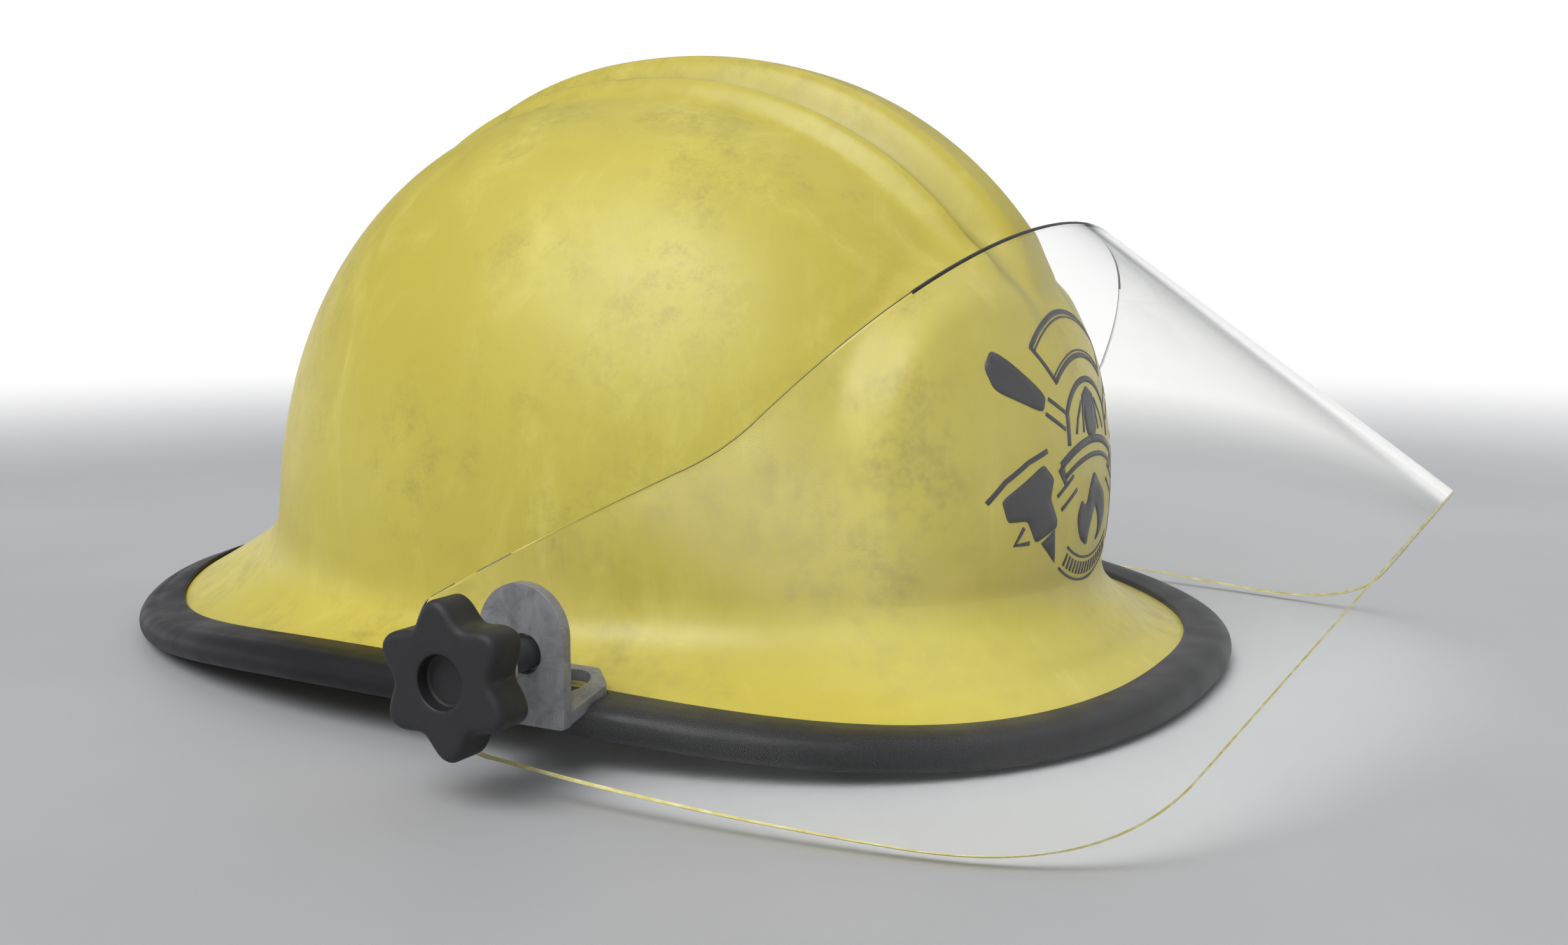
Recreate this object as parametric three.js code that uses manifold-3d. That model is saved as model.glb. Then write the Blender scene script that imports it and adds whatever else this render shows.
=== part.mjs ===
// Firefighter helmet: moulded shell with a centre comb, edge trim, hinged face shield and suspension.
// Millimetres, +Z up. The front of the helmet is -Y and the wearer's right is -X. The helmet stands on
// the lowest points of its edge trim at Z = 0, and the origin is under the middle of its overall box.
import * as THREE from "three";
import { mergeVertices } from "three/addons/utils/BufferGeometryUtils.js";
import Module from "manifold-3d";

const wasm = await Module();
wasm.setup();

// ---------------------------------------------------------------------------------------------------
// Driving dimensions
// ---------------------------------------------------------------------------------------------------
const GAP = 0.3;                                   // clearance between neighbouring pieces

// Edge of the brim, as the centre line of the trim (Y = 0 is at the widest part of the brim).
const RIM = { front: 198.4, rear: 160.5, halfWidth: 131.7, frontPower: 2.3, rearPower: 2.0 };
const RIM_WIDEN = { linear: 0.16, square: 0.09 };  // the brim is a little wider ahead of Y = 0
const RIM_LIFT = [3.67, 0.14, -4.02, -1.84, 2.05]; // cosine series: the brim arches up at the sides
const TRIM = { halfWidth: 5.7, halfHeight: 4.75, lip: 8.6 };

// Dome of the shell.
const DOME = { centreY: -22.6, front: 144.0, rear: 124.9, halfWidth: 106, height: 141.5 };
const DOME_POWER = { plan: 2.12, side: 2.18 };
const DOME_BASE = { middle: 30.5, slope: -9.0, twist: 1.1 };
const SHELL_WALL = 3;
const BRIM_EDGE = 2;                               // how far the brim reaches past the trim's centre line
const BRIM_SLOPE_DEG = { front: 8, side: 4, rear: 17.5 };
const BRIM_FLAT = { front: 0.6, side: 0.25 };      // share of the brim that keeps to its outer slope
const BRIM_DROP = { front: 12, side: 2, rear: -6 };
const FILLET = 9;                                  // height of the soft corner between dome and brim

// Comb along the middle of the dome, and the raised boss on the front.
const COMB = { rise: 13.2, peakDeg: 58, spanDeg: 92, ribWidth: 12.5, beadAt: 20.5, beadWidth: 4.5 };
const BOSS = { halfWidth: 74, bottom: 30, height: 89, power: 2.6, rise: 8.8, edge: 0.07 };
const EMBLEM = { halfWidth: 45, halfHeight: 38, centreZ: 69, lift: 1.1, wall: 0.6 };

// Face shield: an elliptical sheet that turns about the pivot; s runs down it and m out from the pivot.
const PIVOT = { y: -80, z: 29.8 };
const SHIELD = { tiltDeg: 35.5, halfWidth: 156.5, depth: 131.9, centre: -2.1, bottom: 130.9, wall: 2.4 };
const SHIELD_TAB = { radius: 22.5, lowerAt: 41.6, lowerSlope: 1.57, upperAt: -22.8, upperSlope: 0.49 };
const SHIELD_TOP = { at: 12.4, slope: -0.03 };

// Side bracket: an upright plate and a sloping foot that lies on the brim.
const PLATE = { outer: 144.3, wall: 3, centreY: -79, width: 24.4, archZ: 34.2, bottom: 12.7, hole: 4.8 };
const FOOT = { slopeDeg: 12.5, topAtPlate: 16.7, reach: 120, chamfer: 7 };
const FOOT_HOLE = { radius: 6.3, x: 128.4, y: -79.6 };
const RIVET = { shank: 1.6, head: 2.7, y: -69.9, xs: [131.4, 122.6] };

// Clamping stack on the pivot, as distances from the middle plane.
const BOLT = { shank: 2.5, head: 5.2, headFrom: 135.4, headTo: 139.5, end: 168.2 };
const SPRING_WASHER = { radius: 6.2, from: 139.8, to: 141.0 };
const COLLAR = { radius: 3.9, from: 141.4, to: 155.0 };
const SHIELD_WASHER = { radius: 9, from: 158.0, to: 159.4 };
const KNOB = { mean: 15.9, lobe: 2.2, lobes: 6, hub: 5.2, hubFrom: 159.7, back: 163.8, front: 174.4 };
const KNOB_RECESS = { radius: 6.2, depth: 3.6 };

// Inside of the helmet.
const LINER = { gap: 4, wall: 13.4, baseZ: 56 };
const HEAD = { centreY: -31, halfLength: 97, halfWidth: 77, power: 2.2 };
const BAND = { bottom: 22, top: 48, wall: 1.8, endDeg: 126 };
const STRAP = { width: 19, wall: 1.2, bottom: 53, top: 138, offset: 34, layer: 3, degs: [32, 90, 148] };
const NAPE = { y: 68.5, z: 35, halfWidth: 30, halfHeight: 13, depth: 5 };
const RACK = { pitchRadius: 6, wall: 1.6, from: 0.4, height: 6, reach: 13, outerEnd: 30, teeth: 8 };
const TAIL_GAP = 0.1;
const PINION_TEETH = 10;
const HANGER_DEGS = { front_right: -48, front_left: 48, rear_right: -112, rear_left: 112 };
const SIZE_KNOB = { mean: 12.6, lobe: 0.9, lobes: 12, shaft: 3.4, depth: 9 };

const deg = Math.PI / 180;

// ---------------------------------------------------------------------------------------------------
// Small helpers
// ---------------------------------------------------------------------------------------------------
const signedPower = (value, power) => Math.sign(value) * Math.abs(value) ** power;
const clamp01 = (value) => Math.min(1, Math.max(0, value));

function smoothStep(from, to, value) {
  const x = clamp01((value - from) / (to - from));
  return x * x * (3 - 2 * x);
}

function smoothMax(a, b, softness) {
  const h = Math.max(softness - Math.abs(a - b), 0) / softness;
  return Math.max(a, b) + h * h * softness / 4;
}

const smoothMin = (a, b, softness) => -smoothMax(-a, -b, softness);

// Angles around the helmet, closer together at the front and the rear where the comb is.
function aroundAngles(count) {
  return Array.from({ length: count }, (_, i) => {
    const even = (2 * Math.PI * i) / count;
    return even - 0.25 * Math.sin(2 * even);
  });
}

function geometryFrom(points, triangles) {
  const geometry = new THREE.BufferGeometry();
  const coordinates = points.flatMap((point) => point.toArray());
  geometry.setAttribute("position", new THREE.Float32BufferAttribute(coordinates, 3));
  geometry.setIndex(triangles.flat());
  return geometry;
}

// Closed body from a ring of closed sections: sections[i][j], joined end to end.
function ringBody(sections) {
  const rows = sections.length;
  const columns = sections[0].length;
  const triangles = [];
  for (let i = 0; i < rows; i += 1) {
    for (let j = 0; j < columns; j += 1) {
      const a = i * columns + j;
      const b = i * columns + (j + 1) % columns;
      const c = ((i + 1) % rows) * columns + (j + 1) % columns;
      const d = ((i + 1) % rows) * columns + j;
      triangles.push([a, b, c], [a, c, d]);
    }
  }
  return facingOut(geometryFrom(sections.flat(), triangles));
}

// Closed body from a row of closed sections with a flat cap at each end.
function sweptBody(sections) {
  const rows = sections.length;
  const columns = sections[0].length;
  const triangles = [];
  for (let i = 0; i + 1 < rows; i += 1) {
    for (let j = 0; j < columns; j += 1) {
      const a = i * columns + j;
      const b = i * columns + (j + 1) % columns;
      triangles.push([a, b, b + columns], [a, b + columns, a + columns]);
    }
  }
  const last = (rows - 1) * columns;
  for (let j = 1; j + 1 < columns; j += 1) {
    triangles.push([0, j + 1, j], [last, last + j, last + j + 1]);
  }
  return facingOut(geometryFrom(sections.flat(), triangles));
}

// Closed cap-shaped body between an outer and an inner surface, each a function of angle and row.
function capBody(angles, rows, outer, inner) {
  const columns = angles.length;
  const points = [outer(0, rows[0]), inner(0, rows[0])];
  const index = (layer, row, column) =>
    2 + (layer * (rows.length - 1) + row - 1) * columns + column % columns;
  for (const surface of [outer, inner]) {
    for (const row of rows.slice(1)) {
      points.push(...angles.map((angle) => surface(angle, row)));
    }
  }
  const triangles = [];
  for (let j = 0; j < columns; j += 1) {
    triangles.push([0, index(0, 1, j), index(0, 1, j + 1)], [1, index(1, 1, j + 1), index(1, 1, j)]);
    for (let i = 1; i + 1 < rows.length; i += 1) {
      const [a, b] = [index(0, i, j), index(0, i, j + 1)];
      const [c, d] = [index(0, i + 1, j + 1), index(0, i + 1, j)];
      const [e, f] = [index(1, i, j), index(1, i, j + 1)];
      const [g, h] = [index(1, i + 1, j + 1), index(1, i + 1, j)];
      triangles.push([a, d, c], [a, c, b], [e, g, h], [e, f, g]);
    }
    const edge = rows.length - 1;
    const [a, b] = [index(0, edge, j), index(0, edge, j + 1)];
    const [c, d] = [index(1, edge, j + 1), index(1, edge, j)];
    triangles.push([a, c, b], [a, d, c]);
  }
  return facingOut(geometryFrom(points, triangles));
}

function signedVolume(geometry) {
  const position = geometry.getAttribute("position");
  const index = geometry.getIndex();
  const [a, b, c] = [new THREE.Vector3(), new THREE.Vector3(), new THREE.Vector3()];
  let volume = 0;
  for (let i = 0; i < index.count; i += 3) {
    a.fromBufferAttribute(position, index.getX(i));
    b.fromBufferAttribute(position, index.getX(i + 1));
    c.fromBufferAttribute(position, index.getX(i + 2));
    volume += a.dot(b.cross(c)) / 6;
  }
  return volume;
}

// Turns every face over when the body is inside out.
function facingOut(geometry) {
  if (signedVolume(geometry) < 0) {
    const index = geometry.getIndex().array;
    for (let i = 0; i < index.length; i += 3) {
      [index[i + 1], index[i + 2]] = [index[i + 2], index[i + 1]];
    }
  }
  return geometry;
}

function mirrored(geometry) {
  const copy = merged(geometry);
  copy.scale(-1, 1, 1);
  return facingOut(copy);
}

function merged(geometry) {
  const copy = geometry.clone();
  copy.deleteAttribute("normal");
  copy.deleteAttribute("uv");
  return mergeVertices(copy, 1e-4);
}

function toSolid(geometry) {
  const clean = merged(geometry);
  return new wasm.Manifold(new wasm.Mesh({
    numProp: 3,
    vertProperties: new Float32Array(clean.getAttribute("position").array),
    triVerts: new Uint32Array(clean.getIndex().array),
  }));
}

function fromSolid(solid) {
  const mesh = solid.getMesh();
  const geometry = new THREE.BufferGeometry();
  geometry.setAttribute("position", new THREE.BufferAttribute(new Float32Array(mesh.vertProperties), 3));
  geometry.setIndex(new THREE.BufferAttribute(new Uint32Array(mesh.triVerts), 1));
  return geometry;
}

function cut(body, ...tools) {
  return fromSolid(tools.reduce((solid, tool) => solid.subtract(toSolid(tool)), toSolid(body)));
}

function join(body, ...others) {
  return fromSolid(others.reduce((solid, other) => solid.add(toSolid(other)), toSolid(body)));
}

// A round bar along X between two distances from the middle plane, at a place in Y and Z.
function barX(radius, fromX, toX, y, z, sides = 20) {
  const geometry = new THREE.CylinderGeometry(radius, radius, Math.abs(toX - fromX), sides);
  geometry.rotateZ(Math.PI / 2);
  geometry.translate((fromX + toX) / 2, y, z);
  return geometry;
}

function barY(radius, fromY, toY, x, z, sides = 20) {
  const geometry = new THREE.CylinderGeometry(radius, radius, Math.abs(toY - fromY), sides);
  geometry.translate(x, (fromY + toY) / 2, z);
  return geometry;
}

function blockBetween(low, high) {
  const geometry = new THREE.BoxGeometry(high[0] - low[0], high[1] - low[1], high[2] - low[2]);
  geometry.translate((low[0] + high[0]) / 2, (low[1] + high[1]) / 2, (low[2] + high[2]) / 2);
  return geometry;
}

// Turns an extrusion drawn in the X-Y plane so that it is drawn in Y-Z and extruded along X.
const standUp = (geometry) => geometry.applyMatrix4(new THREE.Matrix4().makeBasis(
  new THREE.Vector3(0, 1, 0), new THREE.Vector3(0, 0, 1), new THREE.Vector3(1, 0, 0)));

// A shape drawn in the Y-Z plane, extruded along X.
function plateX(shape, fromX, toX, curveSegments = 10) {
  const settings = { depth: toX - fromX, bevelEnabled: false, curveSegments };
  return standUp(new THREE.ExtrudeGeometry(shape, settings)).translate(fromX, 0, 0);
}

// A shape drawn in the X-Z plane, extruded along Y.
function plateY(shape, fromY, toY, curveSegments = 10) {
  const settings = { depth: toY - fromY, bevelEnabled: false, curveSegments };
  const geometry = new THREE.ExtrudeGeometry(shape, settings);
  geometry.rotateX(Math.PI / 2);
  geometry.translate(0, toY, 0);
  return geometry;
}

function roundedRectangle(halfWidth, halfHeight, radius, centreX = 0, centreY = 0) {
  const shape = new THREE.Shape();
  const [x, y] = [halfWidth, halfHeight];
  shape.moveTo(centreX - x + radius, centreY - y);
  shape.lineTo(centreX + x - radius, centreY - y);
  shape.absarc(centreX + x - radius, centreY - y + radius, radius, -Math.PI / 2, 0);
  shape.lineTo(centreX + x, centreY + y - radius);
  shape.absarc(centreX + x - radius, centreY + y - radius, radius, 0, Math.PI / 2);
  shape.lineTo(centreX - x + radius, centreY + y);
  shape.absarc(centreX - x + radius, centreY + y - radius, radius, Math.PI / 2, Math.PI);
  shape.lineTo(centreX - x, centreY - y + radius);
  shape.absarc(centreX - x + radius, centreY - y + radius, radius, Math.PI, 1.5 * Math.PI);
  return shape;
}

// ---------------------------------------------------------------------------------------------------
// The surface of the shell
// ---------------------------------------------------------------------------------------------------
function rimPoint(angle) {
  const [c, s] = [Math.cos(angle), Math.sin(angle)];
  const power = 2 / (c > 0 ? RIM.frontPower : RIM.rearPower);
  const length = c > 0 ? RIM.front : RIM.rear;
  const widen = 1 + RIM_WIDEN.linear * c + RIM_WIDEN.square * c * c;
  const lift = RIM_LIFT.reduce((sum, size, turn) => sum + size * Math.cos(turn * angle), 0);
  return new THREE.Vector3(
    RIM.halfWidth * signedPower(s, power) * widen,
    -length * signedPower(c, power),
    TRIM.halfHeight + lift);
}

// Level direction pointing straight out from the rim.
function rimOut(angle) {
  const step = 1e-3;
  const along = rimPoint(angle + step).sub(rimPoint(angle - step)).setZ(0).normalize();
  const out = new THREE.Vector3(along.y, -along.x, 0);
  const radial = rimPoint(angle).setZ(0);
  return out.dot(radial) < 0 ? out.negate() : out;
}

// The brim is nearly level at the front and sides and steeper at the rear.
function brimSlope(angle) {
  const c = Math.cos(angle);
  const side = (1 - Math.max(0, c)) ** 2;
  const rear = Math.max(0, -c) ** 2;
  return Math.tan((BRIM_SLOPE_DEG.front + BRIM_SLOPE_DEG.side * side + BRIM_SLOPE_DEG.rear * rear) * deg);
}

// Height at which the dome runs into the brim, lower at the front than at the rear.
const domeFoot = (angle) =>
  DOME_BASE.middle + DOME_BASE.slope * Math.cos(angle) + DOME_BASE.twist * Math.cos(2 * angle);

// Plain dome, before the comb and the boss, moved inwards by an offset. climb is a quarter turn at the top.
function domePoint(angle, climb, offset = 0) {
  const [c, s] = [Math.cos(angle), Math.sin(angle)];
  const length = (c > 0 ? DOME.front : DOME.rear) - offset;
  const shrink = Math.cos(climb) ** (2 / DOME_POWER.side);
  return new THREE.Vector3(
    (DOME.halfWidth - offset) * signedPower(s, 2 / DOME_POWER.plan) * shrink,
    DOME.centreY - length * signedPower(c, 2 / DOME_POWER.plan) * shrink,
    DOME_BASE.middle + (DOME.height - offset) * Math.sin(climb) ** (2 / DOME_POWER.side));
}

// Height of the comb over the dome: a centre rib with a groove and a small bead on each side.
function combRise(point) {
  const along = Math.atan2(point.z - DOME_BASE.middle, DOME.centreY - point.y) / deg;
  const swing = clamp01(Math.abs(along - COMB.peakDeg) / COMB.spanDeg);
  const front = smoothStep(26, 38, along);
  const height = COMB.rise * Math.cos(swing * Math.PI / 2) ** 1.4 * front;
  const x = Math.abs(point.x);
  const rib = Math.exp(-((x / COMB.ribWidth) ** 6));
  const bead = 0.36 * Math.exp(-(((x - COMB.beadAt) / COMB.beadWidth) ** 2));
  const pad = 0.14 * Math.exp(-((x / 24) ** 8));
  return height * Math.min(1, rib + (bead + pad) * (1 - 0.9 * rib));
}

// Height of the front boss, which has an arched top and fades out towards the brim.
function bossRise(point) {
  if (point.y > DOME.centreY) {
    return 0;
  }
  const across = (Math.abs(point.x) / BOSS.halfWidth) ** BOSS.power;
  const up = Math.max(0, (point.z - BOSS.bottom) / BOSS.height) ** BOSS.power;
  const inside = 1 - smoothStep(1 - BOSS.edge, 1 + BOSS.edge, (across + up) ** (1 / BOSS.power));
  return BOSS.rise * inside * clamp01((point.z - 28) / 62) ** 0.75;
}

// Outer surface of the dome with its comb and boss.
function crownPoint(angle, climb) {
  const point = domePoint(angle, climb);
  const inner = domePoint(angle, climb, 1);
  const out = point.clone().sub(inner).normalize();
  const [comb, boss] = [combRise(point), bossRise(point)];
  return point.addScaledVector(out, smoothMax(comb, boss, 1.5 + 0.6 * Math.min(comb, boss)));
}

// Angle of climb at which the plain dome reaches a height.
const climbAt = (z, offset = 0) =>
  Math.asin(clamp01((z - DOME_BASE.middle) / (DOME.height - offset)) ** (DOME_POWER.side / 2));

// Angle of climb at which the dome meets the soft corner above the brim.
const filletClimb = (angle) => climbAt(domeFoot(angle) + FILLET);

// Outer surface of the brim, from the dome (share 0) to the edge inside the trim (share 1).
function brimPoint(angle, share, grow = 0) {
  const start = crownPoint(angle, filletClimb(angle));
  const out = rimOut(angle);
  const end = rimPoint(angle).addScaledVector(out, BRIM_EDGE + grow).setZ(rimPoint(angle).z + 0.5);
  const span = end.clone().sub(start).setZ(0).length();
  const side = smoothStep(0.75, 0.1, Math.cos(angle));
  const flat = BRIM_FLAT.front + BRIM_FLAT.side * side;
  const rear = smoothStep(0, 0.8, -Math.cos(angle));
  const drop = BRIM_DROP.front + BRIM_DROP.side * side + BRIM_DROP.rear * rear;
  const handleDown = start.clone().add(new THREE.Vector3(0, 0, -drop)).addScaledVector(out, 1);
  const handleIn = end.clone().addScaledVector(out, -flat * span);
  handleIn.z += flat * span * brimSlope(angle);
  return new THREE.CubicBezierCurve3(start, handleDown, handleIn, end).getPoint(share);
}

const rowClimb = (angle, row) => filletClimb(angle) - row * (Math.PI / 2 - filletClimb(angle));

// Rows of the shell: -1 is the top of the dome, 0 the foot of the dome and 1 the edge of the brim.
function shellPoint(angle, row, grow = 0) {
  return row <= 0 ? crownPoint(angle, rowClimb(angle, row)) : brimPoint(angle, row, grow);
}

// Outward direction of the surface, from small steps around a point.
function shellOut(angle, row) {
  const step = 1e-3;
  const across = shellPoint(angle + step, row).sub(shellPoint(angle - step, row));
  const [low, high] = [Math.max(row - step, -1), Math.min(row + step, 1)];
  const down = shellPoint(angle, high).sub(shellPoint(angle, low));
  return down.cross(across).normalize();
}

// The inside follows the dome without the fine shape of the comb and the boss.
function shellInnerPoint(angle, row, grow = 0) {
  if (row > 0) {
    return shellPoint(angle, row, grow).addScaledVector(shellOut(angle, row), -SHELL_WALL - grow);
  }
  const point = domePoint(angle, rowClimb(angle, row), SHELL_WALL + grow);
  const hollow = 0.7 * bossRise(point) + 0.7 * combRise(point) * Math.exp(-((point.x / 15) ** 4));
  const out = point.clone().sub(domePoint(angle, rowClimb(angle, row), SHELL_WALL + grow + 1)).normalize();
  return point.addScaledVector(out, hollow);
}

const shellAngles = aroundAngles(44);
const domeRows = [-1, -0.955, -0.9, -0.83, -0.74, -0.63, -0.51, -0.39, -0.27, -0.16, -0.07];
const brimRows = [0, 0.2, 0.4, 0.6, 0.8, 1];

function shellBody(grow = 0) {
  const outer = (angle, row) => shellPoint(angle, row, grow).addScaledVector(
    row === domeRows[0] ? new THREE.Vector3(0, 0, 1) : shellOut(angle, row), grow);
  const inner = (angle, row) => shellInnerPoint(angle, row, grow);
  return capBody(shellAngles, [...domeRows, ...brimRows], outer, inner);
}

// ---------------------------------------------------------------------------------------------------
// Shell, trim and emblem
// ---------------------------------------------------------------------------------------------------
const rivetPlaces = RIVET.xs.flatMap((x) => [-x, x]);
const rivetTop = (x) => footTop(Math.abs(x));

function rivetHole(x, radius) {
  const geometry = new THREE.CylinderGeometry(radius, radius, 40, 14);
  geometry.rotateX(Math.PI / 2);
  geometry.translate(x, RIVET.y, rivetTop(x));
  return geometry;
}

const makeShell = () => cut(shellBody(), ...rivetPlaces.map((x) => rivetHole(x, RIVET.shank + GAP)));

// Solid bead around the brim, hollowed by the brim itself and notched for the bracket feet.
function makeTrim() {
  const { halfWidth: w, halfHeight: h, lip } = TRIM;
  const profile = [[-lip, 3.1], [-4, 4.2], [0, h], [3.2, 0.82 * h], [5.2, 0.4 * h], [w, -0.1 * h],
    [5.0, -0.6 * h], [2.9, -0.93 * h], [0, -h], [-4, -0.97 * h], [-lip, -4.1]];
  const sections = shellAngles.map((angle) => {
    const [centre, out, slope] = [rimPoint(angle), rimOut(angle), brimSlope(angle)];
    return profile.map(([across, up]) => {
      const point = centre.clone().addScaledVector(out, across);
      point.z += up + slope * Math.max(0, -across);
      return point;
    });
  });
  const notch = (side) => {
    const geometry = footBody(GAP, 40);
    return side < 0 ? geometry : mirrored(geometry);
  };
  const pockets = rivetPlaces.map((x) => rivetHole(x, RIVET.head + GAP + 0.4));
  return cut(ringBody(sections), shellBody(GAP), notch(-1), notch(1), ...pockets);
}

// The point of the shell straight in front of x and z, found by halving the search range.
function frontPoint(x, z) {
  let [near, far] = [-1.2, 1.2];
  const climb = climbAt(z);
  for (let i = 0; i < 40; i += 1) {
    const middle = (near + far) / 2;
    if (crownPoint(middle, climb).x < x) {
      near = middle;
    } else {
      far = middle;
    }
  }
  return crownPoint((near + far) / 2, climb);
}

// Round badge that follows the boss: a plain film, a little ahead of the shell.
function makeEmblem() {
  const rings = [0, 0.3, 0.65, 1];
  const angles = Array.from({ length: 28 }, (_, i) => (2 * Math.PI * i) / 28);
  const surface = (lift) => (turn, ring) => {
    const across = ring * EMBLEM.halfWidth * Math.sin(turn);
    const up = ring * EMBLEM.halfHeight * Math.cos(turn);
    return frontPoint(across, EMBLEM.centreZ + up).add(new THREE.Vector3(0, -lift, 0));
  };
  return capBody(angles, rings, surface(EMBLEM.lift + EMBLEM.wall), surface(EMBLEM.lift));
}

// ---------------------------------------------------------------------------------------------------
// Brackets, rivets and the clamping stack (made for the right side and mirrored for the left)
// ---------------------------------------------------------------------------------------------------
const footSlope = Math.tan(FOOT.slopeDeg * deg);

// Height of the foot's upper face at a distance from the middle plane.
const footTop = (x) => FOOT.topAtPlate + (PLATE.outer - PLATE.wall - x) * footSlope;

// The sloping foot, optionally grown by a clearance and made taller to serve as a cutter.
function footBody(grow = 0, extraHeight = 0) {
  const [near, far] = [PLATE.outer + grow, FOOT.reach - grow];
  const half = PLATE.width / 2 + grow;
  const shape = new THREE.Shape();
  shape.moveTo(-near, PLATE.centreY - half);
  shape.lineTo(-far - FOOT.chamfer, PLATE.centreY - half);
  shape.lineTo(-far, PLATE.centreY - half + FOOT.chamfer);
  shape.lineTo(-far, PLATE.centreY + half);
  shape.lineTo(-near, PLATE.centreY + half);
  const settings = { depth: PLATE.wall + grow + extraHeight, bevelEnabled: false };
  const geometry = new THREE.ExtrudeGeometry(shape, settings);
  const lean = new THREE.Matrix4().set(1, 0, 0, 0, 0, 1, 0, 0, footSlope, 0, 1, 0, 0, 0, 0, 1);
  geometry.applyMatrix4(lean);
  geometry.translate(0, 0, footTop(0) - PLATE.wall - grow);
  return geometry;
}

function makeBracket() {
  const half = PLATE.width / 2;
  const shape = new THREE.Shape();
  shape.moveTo(PLATE.centreY - half, PLATE.bottom);
  shape.lineTo(PLATE.centreY + half, PLATE.bottom);
  shape.lineTo(PLATE.centreY + half, PLATE.archZ);
  shape.absarc(PLATE.centreY, PLATE.archZ, half, 0, Math.PI);
  const plate = plateX(shape, -PLATE.outer, -PLATE.outer + PLATE.wall, 12);
  const pivotHole = barX(PLATE.hole, -PLATE.outer - 2, -PLATE.outer + PLATE.wall + 2, PIVOT.y, PIVOT.z, 24);
  const footHole = new THREE.CylinderGeometry(FOOT_HOLE.radius, FOOT_HOLE.radius, 30, 24);
  footHole.rotateX(Math.PI / 2);
  footHole.translate(-FOOT_HOLE.x, FOOT_HOLE.y, footTop(FOOT_HOLE.x));
  const rivetHoles = RIVET.xs.map((x) => rivetHole(-x, RIVET.shank + GAP));
  return cut(join(plate, footBody()), pivotHole, footHole, ...rivetHoles);
}

// Rivet with a low domed head on the foot and a tail under the brim.
function makeRivet(x) {
  const top = rivetTop(x) + GAP + 0.4;
  const tail = -SHELL_WALL - PLATE.wall - 4.0;
  const profile = [[0, 1.1], [1.3, 0.9], [RIVET.head, 0], [RIVET.shank, 0], [RIVET.shank, tail + 0.9],
    [RIVET.head, tail + 0.9], [RIVET.head, tail], [0, tail]].map(([r, z]) => new THREE.Vector2(r, z));
  const geometry = new THREE.LatheGeometry(profile.reverse(), 14);
  geometry.rotateX(Math.PI / 2);
  geometry.translate(-x, RIVET.y, top);
  return facingOut(merged(geometry));
}

function washerX(size, boreRadius) {
  const ring = new THREE.Shape();
  ring.absarc(PIVOT.y, PIVOT.z, size.radius, 0, 2 * Math.PI);
  const bore = new THREE.Path();
  bore.absarc(PIVOT.y, PIVOT.z, boreRadius, 0, 2 * Math.PI, true);
  ring.holes.push(bore);
  return plateX(ring, -size.to, -size.from, 12);
}

const makeSpringWasher = () => washerX(SPRING_WASHER, BOLT.shank + GAP);
const makeCollar = () => washerX(COLLAR, BOLT.shank + GAP);
const makeShieldWasher = () => washerX(SHIELD_WASHER, BOLT.shank + GAP);

function makeBolt() {
  const head = barX(BOLT.head, -BOLT.headTo, -BOLT.headFrom, PIVOT.y, PIVOT.z, 6);
  const shank = barX(BOLT.shank, -BOLT.end, -BOLT.headFrom - 1, PIVOT.y, PIVOT.z, 16);
  return join(head, shank);
}

// Knob with rounded lobes, a hub behind it, a round recess in its face and a blind bore for the bolt.
function makeKnob() {
  const bevel = 1.6;
  const shape = new THREE.Shape(Array.from({ length: 48 }, (_, i) => {
    const turn = (2 * Math.PI * i) / 48;
    const radius = KNOB.mean - bevel + KNOB.lobe * Math.cos(KNOB.lobes * (turn - 84 * deg));
    return new THREE.Vector2(PIVOT.y + radius * Math.cos(turn), PIVOT.z + radius * Math.sin(turn));
  }));
  const geometry = standUp(new THREE.ExtrudeGeometry(shape, {
    depth: KNOB.front - KNOB.back - 2 * bevel,
    bevelSize: bevel,
    bevelThickness: bevel,
    bevelSegments: 1,
  }));
  geometry.translate(-KNOB.front + bevel, 0, 0);
  const hub = barX(KNOB.hub, -KNOB.back - 1, -KNOB.hubFrom, PIVOT.y, PIVOT.z, 24);
  const recessFloor = -KNOB.front + KNOB_RECESS.depth;
  const recess = barX(KNOB_RECESS.radius, -KNOB.front - 2, recessFloor, PIVOT.y, PIVOT.z, 28);
  const bore = barX(BOLT.shank + GAP, -BOLT.end - GAP, -KNOB.hubFrom + 2, PIVOT.y, PIVOT.z, 16);
  return cut(join(geometry, hub), recess, bore);
}

// ---------------------------------------------------------------------------------------------------
// Face shield
// ---------------------------------------------------------------------------------------------------
function shieldTopEdge(m) {
  const slanted = SHIELD_TAB.upperAt + SHIELD_TAB.upperSlope * m;
  if (m < SHIELD_TAB.radius / 2) {
    return Math.max(slanted, -Math.sqrt(Math.max(0, SHIELD_TAB.radius ** 2 - m * m)));
  }
  return smoothMin(slanted, SHIELD_TOP.at + SHIELD_TOP.slope * m, 4);
}

function shieldBottomEdge(m) {
  const round = Math.sqrt(Math.max(0, SHIELD_TAB.radius ** 2 - m * m));
  const tangentAt = -SHIELD_TAB.radius * SHIELD_TAB.lowerSlope / Math.hypot(1, SHIELD_TAB.lowerSlope);
  const slanted = SHIELD_TAB.lowerAt + SHIELD_TAB.lowerSlope * m;
  return m < tangentAt ? round : smoothMin(slanted, SHIELD.bottom, 34);
}

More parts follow.
